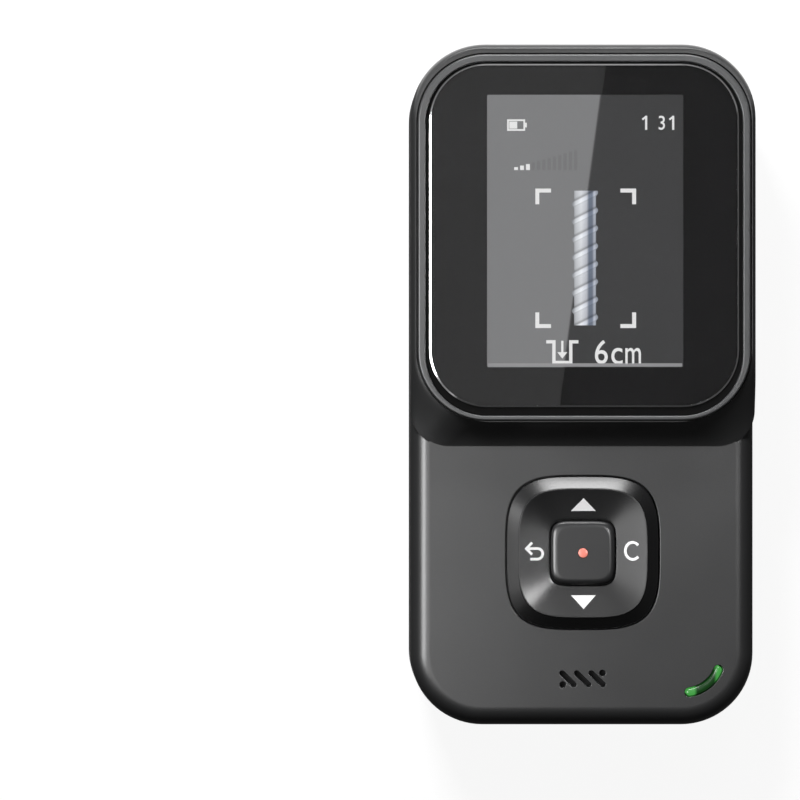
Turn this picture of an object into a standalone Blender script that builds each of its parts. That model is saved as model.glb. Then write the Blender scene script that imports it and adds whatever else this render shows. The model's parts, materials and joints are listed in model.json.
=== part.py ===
"""Handheld wall scanner: display head, keypad, battery door and the parts inside.

The scanner lies on its back: +X is its right side, +Y points to the display
end and +Z comes out of its front. Lengths are in metres. The origin is the
middle of its footprint, on the surface that it lies on.
"""
from math import acos, copysign, cos, pi, radians, sin

import bmesh
import bpy

# Housing
WALL = 0.0018
WALL_LEAN = 0.0004
CORNER_RADIUS = 0.0140
PANEL_EDGE = 0.0038
BACK_EDGE = 0.0040
SHOULDER_EDGE = 0.0034
FOOT_HEIGHT = 0.0006
PARTING_TO_CELL_TOP = 0.0004
GAP = 0.0003

# Batteries and their door
CELL_RADIUS = 0.00525
CELL_LENGTH = 0.0445
CELL_NUB_RADIUS = 0.0019
CELL_NUB_LENGTH = 0.0010
CELL_SPACING = 0.0005
CELL_COUNT = 3
SPRING_ROOM = 0.0042
CONTACT_ROOM = 0.0014
SPRING_WIRE = 0.0005
SPRING_TURNS = 3
PLATE_THICKNESS = 0.0004
BAY_SIDE_ROOM = 0.0009
BAY_WALL = 0.0012
BAY_TO_FOOT_END = 0.0062
DOOR_THICKNESS = 0.0020
DOOR_OVERLAP = 0.0025
DOOR_TONGUE = 0.0011
DOOR_TONGUE_THICKNESS = 0.0008
DOOR_LEDGE = 0.0015
DOOR_TONGUE_END_GAP = 0.0030
DOOR_GRIP_COUNT = 5
DOOR_GRIP_PITCH = 0.0019
DOOR_GRIP_DEPTH = 0.0005
DOOR_GRIP_WIDTH = 0.0009
DOOR_GRIP_LENGTH = 0.0150

# Screws and feet
SCREW_TO_DOOR = 0.00525
SCREW_TO_SIDE = 0.0070
SCREW_TO_HEAD_END = 0.0260
SCREW_TO_FOOT_END = 0.0250
SCREW_HEAD_RADIUS = 0.0025
SCREW_HEAD_HEIGHT = 0.0018
SCREW_SHANK_RADIUS = 0.0012
SCREW_LENGTH = 0.0180
SCREW_RECESS = 0.0010
BOSS_RADIUS = 0.0028
BOARD_SCREW_HEAD_RADIUS = 0.0017
BOARD_SCREW_HEAD_HEIGHT = 0.0010
BOARD_SCREW_SHANK_RADIUS = 0.0007
BOARD_SCREW_LENGTH = 0.0050
FOOT_RADIUS = 0.0033
FOOT_TO_SCREW = 0.0016
FOOT_TO_END = 0.0140
FOOT_SEAT = 0.0005

# Circuit board, shield and ribbon
BOARD_CLEARANCE = 0.0013
BOARD_THICKNESS = 0.0012
BOARD_SIDE_ROOM = 0.0007
BOARD_TO_HEAD_END = 0.0050
BOARD_TO_FOOT_END = 0.0040
BOARD_RADIUS = 0.0030
BOARD_SCREW_INSET_X = 0.0023
BOARD_SCREW_INSET_Y = 0.0030
BOARD_SCREW_TO_BAY = 0.0093
POST_RADIUS = 0.0021
SHIELD_WIDTH = 0.0300
SHIELD_LENGTH = 0.0220
SHIELD_HEIGHT = 0.0024
SHIELD_WALL = 0.0004
SHIELD_RADIUS = 0.0015
SHIELD_TO_HEAD_END = 0.0290
FLEX_WIDTH = 0.0140
FLEX_THICKNESS = 0.0003
FLEX_BEND = 0.0030
FLEX_INSET = 0.0016
CHIP_SIZE = 0.0070
CHIP_HEIGHT = 0.0009

# Sensor
SENSOR_SIDE_ROOM = 0.0005
SENSOR_TO_HEAD_END = 0.0340
SENSOR_THICKNESS = 0.0012
SENSOR_STAND_OFF = 0.0006
COIL_INSET = 0.0005
COIL_FORMER_WIDTH = 0.0050
COIL_HUB_WALL = 0.0012
COIL_FORMER_HEIGHT = 0.0052
COIL_FLANGE = 0.0009

# Keypad
SWITCH_SIZE = 0.0044
SWITCH_HEIGHT = 0.0013
MAT_MARGIN = 0.00015
MAT_THICKNESS = 0.0006
PAD_SIZE = 0.0287
PAD_FLANK_RUN = 0.0022
PAD_CREST_RISE = 0.0015
PAD_DISH_DEPTH = 0.0010
PAD_FLANGE_LIP = 0.00125
PAD_FLANGE_THICKNESS = 0.0008
PAD_FLANGE_DROP = 0.0008
PAD_WALL = 0.0013
SQUIRCLE_POWER = 3.6
RING_WIDTH = 0.0083
BUTTON_RISE = 0.0014
BUTTON_TRAVEL_ROOM = 0.0004
BUTTON_POWER = 5.2
BUTTON_BEVEL = 0.0007
BUTTON_FLANGE = 0.0010
BUTTON_FLANGE_THICKNESS = 0.0008
BUTTON_WALL = 0.0013
RUNNING_GAP = 0.00035
DOT_RADIUS = 0.00087
DOT_LENGTH = 0.0012
DOT_GAP = 0.00015
DOT_PROUD = 0.0001
CARRIER_ROOM = 0.00085
CARRIER_WALL = 0.0021
CARRIER_THICKNESS = 0.0007
CARRIER_ARM_WIDTH = 0.0012
CARRIER_ARM_SEAT = 0.0016
CARRIER_CLEARANCE = 0.0005
PEG_TO_PAD_EDGE = 0.00235
PEG_RADIUS = 0.0007
PEG_OFFSET = 0.0019

# Sound grille and status light
GRILLE_TO_FOOT_END = 0.0093
GRILLE_TO_PAD = 0.0240
GRILLE_PITCH = 0.00277
GRILLE_HALF_X = 0.00112
GRILLE_HALF_Y = 0.0011
GRILLE_SLOT_WIDTH = 0.00093
GRILLE_DOT_RADIUS = 0.00057
GRILLE_DOT_X = 0.00378
BUZZER_RADIUS = 0.0052
BUZZER_HEIGHT = 0.0032
BUZZER_MOUTH_RADIUS = 0.0013
BUZZER_SEAL_RADIUS = 0.0060
BUZZER_SEAL_WALL = 0.0010
SPEAKER_CLOTH_THICKNESS = 0.0003
LIGHT_INSET = 0.0137
LIGHT_ARC_RADIUS = 0.0070
LIGHT_START = -82
LIGHT_END = -22
LIGHT_WIDTH = 0.0013
LIGHT_CLEARANCE = 0.00025
LIGHT_PROUD = 0.0002
LIGHT_FLANGE_WIDTH = 0.0032
LIGHT_FLANGE_THICKNESS = 0.0009
LIGHT_LEG_RADIUS = 0.0009
LED_SIZE = 0.0014
LED_HEIGHT = 0.0008

# Display head
PAD_TO_HEAD = 0.025075
HEAD_RISE = 0.0042
BEZEL_LENGTH = 0.06905
BEZEL_SIDE_SETBACK = 0.00165
BEZEL_END_SETBACK = 0.002575
BEZEL_RADIUS = 0.0130
BEZEL_BAND = 0.00145
BEZEL_FOOT_BAND = 0.00095
BEZEL_RISE = 0.0008
BEZEL_ROUND = 0.0004
LENS_RECESS = 0.0018
LEDGE_THICKNESS = 0.0014
COVE_RUN = 0.0042
COVE_LAND = 0.0005
COVE_SAG = 0.0006
LENS_SIDE_GAP = 0.00075
LENS_HEAD_GAP = 0.000375
LENS_FOOT_GAP = 0.001675
LENS_THICKNESS = 0.0012
LENS_CHAMFER = 0.00035
GASKET_THICKNESS = 0.0004
GASKET_ROOM = 0.0012
MODULE_SIDE_ROOM = 0.00035
MODULE_HEAD_MARGIN = 0.0034
MODULE_FOOT_MARGIN = 0.0012
MODULE_THICKNESS = 0.0028
TRAY_FLOOR = 0.0012
TRAY_BAND = 0.0015
TRAY_RADIUS = 0.0030

# Fineness of the curves
CORNER_STEPS = 8
EDGE_STEPS = 5
COVE_STEPS = 6
ROUND_STEPS = 20
SQUIRCLE_STEPS = 32
CUT_THROUGH = 0.0010
BLEND = 0.00002

# Heights, built up from the surface that the scanner lies on
BACK_HEIGHT = FOOT_HEIGHT
FLOOR_HEIGHT = BACK_HEIGHT + WALL
DOOR_INSIDE = BACK_HEIGHT + DOOR_THICKNESS
CELL_AXIS_HEIGHT = DOOR_INSIDE + GAP + CELL_RADIUS
BAY_CEILING = CELL_AXIS_HEIGHT + CELL_RADIUS + GAP
PARTING_HEIGHT = CELL_AXIS_HEIGHT + CELL_RADIUS - PARTING_TO_CELL_TOP
BOARD_UNDERSIDE = BAY_CEILING + BAY_WALL + BOARD_CLEARANCE
BOARD_TOP = BOARD_UNDERSIDE + BOARD_THICKNESS
SWITCH_TOP = BOARD_TOP + GAP + SWITCH_HEIGHT
MAT_TOP = SWITCH_TOP + GAP + MAT_THICKNESS
CARRIER_UNDERSIDE = MAT_TOP + CARRIER_CLEARANCE
CARRIER_TOP = CARRIER_UNDERSIDE + CARRIER_THICKNESS
PIVOT_HEIGHT = (CARRIER_TOP + CARRIER_UNDERSIDE) / 2
FLANGE_UNDERSIDE = CARRIER_TOP + CARRIER_CLEARANCE
FLANGE_TOP = FLANGE_UNDERSIDE + PAD_FLANGE_THICKNESS
CEILING_HEIGHT = FLANGE_TOP + PAD_FLANGE_DROP
PANEL_HEIGHT = CEILING_HEIGHT + WALL
SHOULDER_HEIGHT = PANEL_HEIGHT + HEAD_RISE
BEZEL_TOP = SHOULDER_HEIGHT + BEZEL_RISE
LEDGE_HEIGHT = SHOULDER_HEIGHT - LENS_RECESS
HEAD_CEILING = LEDGE_HEIGHT - LEDGE_THICKNESS
GASKET_TOP = LEDGE_HEIGHT + GAP + GASKET_THICKNESS
LENS_UNDERSIDE = GASKET_TOP + GAP
MODULE_TOP = LENS_UNDERSIDE - GAP
MODULE_UNDERSIDE = MODULE_TOP - MODULE_THICKNESS
TRAY_UNDERSIDE = MODULE_UNDERSIDE - GAP - TRAY_FLOOR
SENSOR_UNDERSIDE = FLOOR_HEIGHT + SENSOR_STAND_OFF
COIL_BASE = SENSOR_UNDERSIDE + SENSOR_THICKNESS + GAP

# Widths, built out from the cells
CELL_PITCH = 2 * CELL_RADIUS + CELL_SPACING
BAY_HALF_X = CELL_PITCH * (CELL_COUNT - 1) / 2 + CELL_RADIUS + BAY_SIDE_ROOM
DOOR_HALF_X = BAY_HALF_X + DOOR_OVERLAP
CASE_SCREW_X = DOOR_HALF_X + DOOR_TONGUE + SCREW_TO_DOOR
BODY_WIDTH = 2 * (CASE_SCREW_X + SCREW_TO_SIDE)
BOSS_FOOT_RADIUS = SCREW_HEAD_RADIUS + GAP + BAY_WALL
FOOT_X = CASE_SCREW_X - FOOT_TO_SCREW
BOARD_WIDTH = 2 * (CASE_SCREW_X - BOSS_RADIUS - BOARD_SIDE_ROOM)
BOARD_SCREW_X = BOARD_WIDTH / 2 - BOARD_SCREW_INSET_X
SENSOR_SIZE = 2 * (CASE_SCREW_X - BOSS_FOOT_RADIUS - SENSOR_SIDE_ROOM)
COIL_RADIUS = SENSOR_SIZE / 2 - COIL_INSET
COIL_HUB_RADIUS = COIL_RADIUS - COIL_FORMER_WIDTH
BEZEL_WIDTH = BODY_WIDTH - 2 * BEZEL_SIDE_SETBACK
RECESS_HALF_X = BEZEL_WIDTH / 2 + GAP
LENS_WIDTH = BEZEL_WIDTH - 2 * (BEZEL_BAND + LENS_SIDE_GAP)
LENS_RADIUS = BEZEL_RADIUS - BEZEL_BAND - LENS_SIDE_GAP
MODULE_WIDTH = 2 * (CASE_SCREW_X - BOSS_RADIUS - MODULE_SIDE_ROOM - TRAY_BAND)
MAT_SIZE = PAD_SIZE + 2 * MAT_MARGIN
BUTTON_SIZE = PAD_SIZE - 2 * RING_WIDTH
PAD_CREST_SIZE = PAD_SIZE - 2 * PAD_FLANK_RUN
PAD_FLANGE_SIZE = PAD_SIZE + 2 * PAD_FLANGE_LIP
PEG_SPREAD = PAD_SIZE / 2 - PEG_TO_PAD_EDGE
CARRIER_SIZE = BUTTON_SIZE + 2 * (BUTTON_FLANGE + CARRIER_ROOM + CARRIER_WALL)
CARRIER_ARM_REACH = PAD_FLANGE_SIZE / 2 + CARRIER_ARM_SEAT

# Places along the body, built up from its foot end
BODY_LENGTH = GRILLE_TO_FOOT_END + GRILLE_TO_PAD + PAD_TO_HEAD + BEZEL_LENGTH + BEZEL_END_SETBACK
FOOT_END_Y = -BODY_LENGTH / 2
HEAD_END_Y = BODY_LENGTH / 2
GRILLE_CENTRE_Y = FOOT_END_Y + GRILLE_TO_FOOT_END
PAD_CENTRE_Y = GRILLE_CENTRE_Y + GRILLE_TO_PAD
BEZEL_FOOT_Y = PAD_CENTRE_Y + PAD_TO_HEAD
BEZEL_HEAD_Y = BEZEL_FOOT_Y + BEZEL_LENGTH
COVE_TOP_Y = BEZEL_FOOT_Y - GAP - COVE_LAND
LENS_FOOT_Y = BEZEL_FOOT_Y + BEZEL_FOOT_BAND + LENS_FOOT_GAP
LENS_HEAD_Y = BEZEL_HEAD_Y - BEZEL_BAND - LENS_HEAD_GAP
MODULE_FOOT_Y = LENS_FOOT_Y + MODULE_FOOT_MARGIN
MODULE_HEAD_Y = LENS_HEAD_Y - MODULE_HEAD_MARGIN
FLEX_Y = MODULE_FOOT_Y + FLEX_INSET
BAY_FOOT_Y = FOOT_END_Y + BAY_TO_FOOT_END
BAY_TOP_Y = BAY_FOOT_Y + CELL_LENGTH + SPRING_ROOM + CONTACT_ROOM
BOARD_FOOT_Y = FOOT_END_Y + BOARD_TO_FOOT_END
BOARD_TOP_Y = HEAD_END_Y - BOARD_TO_HEAD_END
BOARD_SCREW_Y = (BOARD_TOP_Y - BOARD_SCREW_INSET_Y, BAY_TOP_Y - BOARD_SCREW_TO_BAY)
CASE_SCREW_Y = (HEAD_END_Y - SCREW_TO_HEAD_END, FOOT_END_Y + SCREW_TO_FOOT_END)
FOOT_Y = HEAD_END_Y - FOOT_TO_END
SHIELD_CENTRE_Y = HEAD_END_Y - SHIELD_TO_HEAD_END
SENSOR_CENTRE_Y = HEAD_END_Y - SENSOR_TO_HEAD_END
LIGHT_X = BODY_WIDTH / 2 - LIGHT_INSET
LIGHT_Y = FOOT_END_Y + LIGHT_INSET

# Colours, roughness and metallic value of each finish
FINISHES = {
    "shell_plastic": ((0.075, 0.077, 0.080), 0.48, 0.0),
    "back_plastic": ((0.030, 0.031, 0.033), 0.55, 0.0),
    "bezel_plastic": ((0.110, 0.112, 0.116), 0.38, 0.0),
    "key_plastic": ((0.060, 0.061, 0.064), 0.36, 0.0),
    "inner_plastic": ((0.020, 0.020, 0.021), 0.60, 0.0),
    "lens_glass": ((0.010, 0.010, 0.011), 0.04, 0.0),
    "foam": ((0.015, 0.015, 0.015), 0.95, 0.0),
    "rubber": ((0.030, 0.030, 0.031), 0.85, 0.0),
    "display": ((0.060, 0.062, 0.066), 0.12, 0.0),
    "green_light": ((0.030, 0.300, 0.050), 0.15, 0.0),
    "red_light": ((0.800, 0.180, 0.140), 0.25, 0.0),
    "lamp": ((0.800, 0.800, 0.700), 0.30, 0.0),
    "circuit_board": ((0.010, 0.120, 0.060), 0.45, 0.0),
    "flex_film": ((0.450, 0.220, 0.040), 0.35, 0.0),
    "steel": ((0.560, 0.570, 0.580), 0.30, 1.0),
    "spring_steel": ((0.700, 0.690, 0.660), 0.28, 1.0),
    "copper": ((0.720, 0.330, 0.160), 0.35, 1.0),
    "cell_sleeve": ((0.120, 0.130, 0.150), 0.35, 0.0),
    "felt": ((0.040, 0.040, 0.042), 0.98, 0.0),
}


def remove_everything():
    """Empty the scene."""
    for thing in list(bpy.data.objects):
        bpy.data.objects.remove(thing)


def finish(name):
    """The material of one finish, made the first time that it is asked for."""
    material = bpy.data.materials.get(name)
    if material is None:
        colour, roughness, metallic = FINISHES[name]
        material = bpy.data.materials.new(name)
        material.use_nodes = True
        shader = material.node_tree.nodes["Principled BSDF"]
        shader.inputs["Base Color"].default_value = (*colour, 1.0)
        shader.inputs["Roughness"].default_value = roughness
        shader.inputs["Metallic"].default_value = metallic
        material.diffuse_color = (*colour, 1.0)
    return material


def add_object(name, bm, finish_name=None):
    """Put a finished mesh into the scene; without a finish it is a cutter or a form to join."""
    bmesh.ops.recalc_face_normals(bm, faces=bm.faces)
    mesh = bpy.data.meshes.new(name)
    bm.to_mesh(mesh)
    bm.free()
    mesh.shade_smooth()
    mesh.set_sharp_from_angle(angle=radians(32))
    thing = bpy.data.objects.new(name, mesh)
    bpy.context.scene.collection.objects.link(thing)
    if finish_name:
        mesh.materials.append(finish(finish_name))
    else:
        thing.hide_render = True
        thing.display_type = "WIRE"
    return thing


def apply_boolean(body, tool, operation):
    """Let one form act on a body, and keep it as a modifier."""
    modifier = body.modifiers.new(tool.name, "BOOLEAN")
    modifier.operation = operation
    modifier.solver = "EXACT"
    modifier.object = tool


def cut(body, *tools):
    """Take each tool's form out of the body."""
    for tool in tools:
        apply_boolean(body, tool, "DIFFERENCE")


def join(body, *tools):
    """Add each tool's form to the body."""
    for tool in tools:
        apply_boolean(body, tool, "UNION")


def set_origin(thing, x, y, z):
    """Move a piece's origin onto its joint's axis, with its shape left in place."""
    for vertex in thing.data.vertices:
        vertex.co.x -= x
        vertex.co.y -= y
        vertex.co.z -= z
    thing.location = (x, y, z)


def rounded(half_x, y_low, y_high, r_low, r_high=None, centre_x=0.0, steps=CORNER_STEPS):
    """Outline of a rounded rectangle, anticlockwise from the foot of its right side."""
    if r_high is None:
        r_high = r_low
    corners = (
        (half_x - r_low, y_low + r_low, r_low, -90),
        (half_x - r_high, y_high - r_high, r_high, 0),
        (r_high - half_x, y_high - r_high, r_high, 90),
        (r_low - half_x, y_low + r_low, r_low, 180),
    )
    points = []
    for x, y, radius, start in corners:
        for step in range(steps + 1):
            angle = radians(start + 90 * step / steps)
            points.append((centre_x + x + radius * cos(angle), y + radius * sin(angle)))
    return points


def squircle(size, centre_y, power=SQUIRCLE_POWER):
    """Outline between a circle and a square, centred across the body."""
    points = []
    for step in range(SQUIRCLE_STEPS):
        angle = 2 * pi * step / SQUIRCLE_STEPS
        x = copysign(abs(cos(angle)) ** (2 / power), cos(angle))
        y = copysign(abs(sin(angle)) ** (2 / power), sin(angle))
        points.append((size / 2 * x, centre_y + size / 2 * y))
    return points


def circle(radius, centre_x, centre_y, steps=ROUND_STEPS):
    """Outline of a circle."""
    angles = [2 * pi * step / steps for step in range(steps)]
    return [(centre_x + radius * cos(a), centre_y + radius * sin(a)) for a in angles]


def at_height(outline, height):
    """An outline as a ring of points at one height."""
    return [(x, y, height) for x, y in outline]


def skin(bm, rings, closed=False):
    """Join rings of equal length with faces; an open run of rings is capped at both ends."""
    loops = [[bm.verts.new(point) for point in ring] for ring in rings]
    following = loops[1:] + ([loops[0]] if closed else [])
    for lower, upper in zip(loops, following):
        for index in range(len(lower)):
            after = (index + 1) % len(lower)
            bm.faces.new((lower[index], lower[after], upper[after], upper[index]))
    if not closed:
        bm.faces.new(tuple(reversed(loops[0])))
        bm.faces.new(tuple(loops[-1]))


def lofted(name, rings, finish_name=None, closed=False):
    """One body through a run of rings."""
    bm = bmesh.new()
    skin(bm, rings, closed)
    return add_object(name, bm, finish_name)


def prism(name, outline, low, high, finish_name=None):
    """An outline raised from one height to another."""
    return lofted(name, [at_height(outline, low), at_height(outline, high)], finish_name)


def block(name, x_low, x_high, y_low, y_high, low, high, finish_name=None):
    """A plain rectangular form."""
    outline = [(x_low, y_low), (x_high, y_low), (x_high, y_high), (x_low, y_high)]
    return prism(name, outline, low, high, finish_name)


def turned(name, profile, centre_x, centre_y, finish_name=None, closed=False, steps=ROUND_STEPS):
    """A body turned about an upright axis from (radius, height) pairs."""
    rings = [at_height(circle(radius, centre_x, centre_y, steps), height) for radius, height in profile]
    return lofted(name, rings, finish_name, closed)


def arc_stroke(width, steps=9):
    """Outline of the status light: an arc of one width with round ends."""
    half = width / 2
    span = LIGHT_END - LIGHT_START
    sweep = [radians(LIGHT_START + span * step / steps) for step in range(steps + 1)]
    outer = [(LIGHT_ARC_RADIUS + half, angle) for angle in sweep]
    inner = [(LIGHT_ARC_RADIUS - half, angle) for angle in reversed(sweep)]

    def place(radius, angle):
        return (LIGHT_X + radius * cos(angle), LIGHT_Y + radius * sin(angle))

    def end_cap(angle, turn):
        x, y = place(LIGHT_ARC_RADIUS, angle)
        caps = [angle + turn + pi * step / 5 for step in range(1, 5)]
        return [(x + half * cos(a), y + half * sin(a)) for a in caps]

    points = [place(*spot) for spot in outer]
    points += end_cap(sweep[-1], 0)
    points += [place(*spot) for spot in inner]
    points += end_cap(sweep[0], pi)
    return points


def lean_at(height):
    """How far the walls lean in at a height above the parting line."""
    return WALL_LEAN * (height - PARTING_HEIGHT) / (BEZEL_TOP - PARTING_HEIGHT)


def body_outline(inset, radius=None):
    """Outline of the whole body, drawn in by an inset."""
    if radius is None:
        radius = CORNER_RADIUS - inset
    half_y = BODY_LENGTH / 2 - inset
    return rounded(BODY_WIDTH / 2 - inset, -half_y, half_y, radius)


def edge_round(inset, top, size, steps=EDGE_STEPS):
    """(inset, height) pairs of a rounded upper edge, from its foot to its top."""
    angles = [pi / 2 * step / steps for step in range(steps + 1)]
    return [(inset + size * (1 - cos(a)), top - size * (1 - sin(a))) for a in angles]


def cove_point(share):
    """The cove's (y, height), from where it meets the panel, at 0, to its upper edge, at 1."""
    foot_y = COVE_TOP_Y - COVE_RUN
    sag = 4 * share * (1 - share) * COVE_SAG
    return foot_y + COVE_RUN * share + sag, PANEL_HEIGHT + HEAD_RISE * share - sag


def head_ring(foot_y, height):
    """Outline of the raised head at a height: rounded shoulders and a coved foot."""
    edge_foot = SHOULDER_HEIGHT - SHOULDER_EDGE
    share = min(1.0, max(0.0, (height - edge_foot) / SHOULDER_EDGE))
    turn = 1 - (1 - share ** 2) ** 0.5
    lean = lean_at(height) + BLEND
    side = BEZEL_SIDE_SETBACK - WALL_LEAN - GAP - COVE_LAND
    end = BEZEL_END_SETBACK - WALL_LEAN - GAP - COVE_LAND
    outline = rounded(
        BODY_WIDTH / 2 - lean - side * turn,
        foot_y,
        HEAD_END_Y - lean - end * turn,
        BEZEL_RADIUS + COVE_TOP_Y - foot_y,
        CORNER_RADIUS - (side + end) / 2 * turn,
    )
    return at_height(outline, height)


def head_block():
    """The raised head, with the cove that leads down from it to the panel."""
    cove = [cove_point(step / COVE_STEPS) for step in range(COVE_STEPS + 1)]
    foot_y = cove[0][0]
    rings = [head_ring(foot_y, PARTING_HEIGHT + BACK_EDGE), head_ring(foot_y, PANEL_HEIGHT - BLEND)]
    rings += [head_ring(y, height) for y, height in cove[1:]]
    return lofted("head_block", rings)


def recess_outline(inset=0.0):
    """Outline of the recess that takes the bezel, the gasket and the lens."""
    return rounded(
        RECESS_HALF_X - inset,
        BEZEL_FOOT_Y - GAP + inset,
        BEZEL_HEAD_Y + GAP - inset,
        BEZEL_RADIUS + GAP - inset,
    )


def lens_outline(inset=0.0):
    """Outline of the lens."""
    return rounded(LENS_WIDTH / 2 - inset, LENS_FOOT_Y + inset, LENS_HEAD_Y - inset, LENS_RADIUS - inset)


def module_outline(margin, radius):
    """Outline of the display module with a margin around it."""
    half_x = MODULE_WIDTH / 2 + margin
    return rounded(half_x, MODULE_FOOT_Y - margin, MODULE_HEAD_Y + margin, radius, steps=3)


def grille_slot(name, centre_x):
    """Cutter for one slanted slot of the grille, with round ends."""
    reach = (GRILLE_HALF_X ** 2 + GRILLE_HALF_Y ** 2) ** 0.5
    slant = (-GRILLE_HALF_X / reach, GRILLE_HALF_Y / reach)
    start = pi - acos(GRILLE_HALF_X / reach)
    half = GRILLE_SLOT_WIDTH / 2
    points = []
    for end in (1, -1):
        x = centre_x + end * slant[0] * reach
        y = GRILLE_CENTRE_Y + end * slant[1] * reach
        for step in range(7):
            angle = start - pi / 2 + pi * step / 6 + (0 if end == 1 else pi)
            points.append((x + half * cos(angle), y + half * sin(angle)))
    return prism(name, points, CEILING_HEIGHT - CUT_THROUGH, PANEL_HEIGHT + CUT_THROUGH)


def grille_cutters():
    """Three slanted slots and a round hole at each end of the grille."""
    low = CEILING_HEIGHT - CUT_THROUGH
    high = PANEL_HEIGHT + CUT_THROUGH
    cutters = [grille_slot(f"grille_slot_{n}", (n - 1) * GRILLE_PITCH) for n in range(3)]
    for side in (1, -1):
        y = GRILLE_CENTRE_Y + side * GRILLE_HALF_Y
        outline = circle(GRILLE_DOT_RADIUS, side * GRILLE_DOT_X, y, 12)
        cutters.append(prism(f"grille_dot_{side + 1}", outline, low, high))
    return cutters


def front_shell():
    """Moulded front: keypad panel, cove, raised head, openings, bosses and pivot ribs."""
    start = PARTING_HEIGHT + GAP / 2
    profile = [(0.0, start)]
    lean = lean_at(PANEL_HEIGHT)
    profile += edge_round(lean, PANEL_HEIGHT, PANEL_EDGE)
    rings = [at_height(body_outline(inset), height) for inset, height in profile]
    shell = lofted("front_shell", rings, "shell_plastic")
    join(shell, head_block())

    hollow = [(WALL, start - CUT_THROUGH)]
    hollow += edge_round(WALL + lean, CEILING_HEIGHT, PANEL_EDGE - WALL, 3)
    hollow_rings = [at_height(body_outline(inset), height) for inset, height in hollow]
    cut(shell, lofted("panel_hollow", hollow_rings))

    inset = WALL + WALL_LEAN + 2 * GAP
    half_y = BODY_LENGTH / 2 - inset
    foot = COVE_TOP_Y - COVE_RUN * (SHOULDER_HEIGHT - HEAD_CEILING) / HEAD_RISE + WALL + GAP
    radius = CORNER_RADIUS - inset
    outline = rounded(BODY_WIDTH / 2 - inset, foot, half_y, radius)
    cut(shell, prism("head_hollow", outline, start - CUT_THROUGH, HEAD_CEILING))

    top = BEZEL_TOP + CUT_THROUGH
    cut(shell, prism("lens_recess", recess_outline(), LEDGE_HEIGHT, top))
    opening = module_outline(2 * GAP, 0.0012)
    cut(shell, prism("display_opening", opening, HEAD_CEILING - CUT_THROUGH, top))
    hole = squircle(PAD_SIZE + 2 * RUNNING_GAP, PAD_CENTRE_Y)
    cut(shell, prism("pad_hole", hole, CEILING_HEIGHT - CUT_THROUGH, top))
    slot = arc_stroke(LIGHT_WIDTH + 2 * LIGHT_CLEARANCE)
    cut(shell, prism("light_slot", slot, CEILING_HEIGHT - CUT_THROUGH, top))
    cut(shell, *grille_cutters())
    join(shell, *front_bosses(), *pivot_ribs())
    cut(shell, *screw_bores("pilot", SCREW_SHANK_RADIUS + GAP, 0.0, boss_ceiling))
    return shell


def boss_ceiling(y):
    """Height of the ceiling over a case screw."""
    return HEAD_CEILING if y > 0 else CEILING_HEIGHT


def case_screw_places():
    """Number, x and y of each case screw."""
    places = [(x, y) for y in CASE_SCREW_Y for x in (-CASE_SCREW_X, CASE_SCREW_X)]
    return [(number + 1, x, y) for number, (x, y) in enumerate(places)]


def front_bosses():
    """Bosses that hang from the ceilings and take the case screws."""
    bosses = []
    for number, x, y in case_screw_places():
        low = PARTING_HEIGHT + GAP
        high = boss_ceiling(y) + WALL / 3
        bosses.append(turned(f"front_boss_{number}", [(BOSS_RADIUS, low), (BOSS_RADIUS, high)], x, y))
    return bosses


def screw_bores(name, radius, low, high_at):
    """Cutters for the bores of the case screws, from a height to just below a ceiling."""
    bores = []
    for number, x, y in case_screw_places():
        high = min(high_at(y) - WALL / 2, BACK_HEIGHT + SCREW_RECESS + SCREW_LENGTH + 2 * GAP)
        profile = [(radius, low), (radius, high)]
        bores.append(turned(f"{name}_{number}", profile, x, y, steps=16))
    return bores


def pivot_ribs():
    """Two ribs under the panel that the arms of the keypad carrier bear on."""
    ribs = []
    for side in (-1, 1):
        outer = side * (CARRIER_ARM_REACH + GAP)
        inner = side * (PAD_FLANGE_SIZE / 2 + GAP)
        ribs.append(
            block(
                f"pivot_rib_{side + 1}",
                min(outer, inner),
                max(outer, inner),
                PAD_CENTRE_Y - 2 * CARRIER_ARM_WIDTH,
                PAD_CENTRE_Y + 2 * CARRIER_ARM_WIDTH,
                CARRIER_TOP + GAP,
                CEILING_HEIGHT + WALL / 3,
            )
        )
    return ribs


def back_form(name, finish_name=None):
    """Outer form of the back, from its rounded back edge up to the parting line."""
    corner = edge_round(0.0, 0.0, BACK_EDGE)
    profile = [(WALL_LEAN + inset, BACK_HEIGHT - height) for inset, height in reversed(corner)]
    profile.append((0.0, PARTING_HEIGHT - GAP / 2))
    rings = [at_height(body_outline(inset), height) for inset, height in profile]
    return lofted(name, rings, finish_name)


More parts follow.
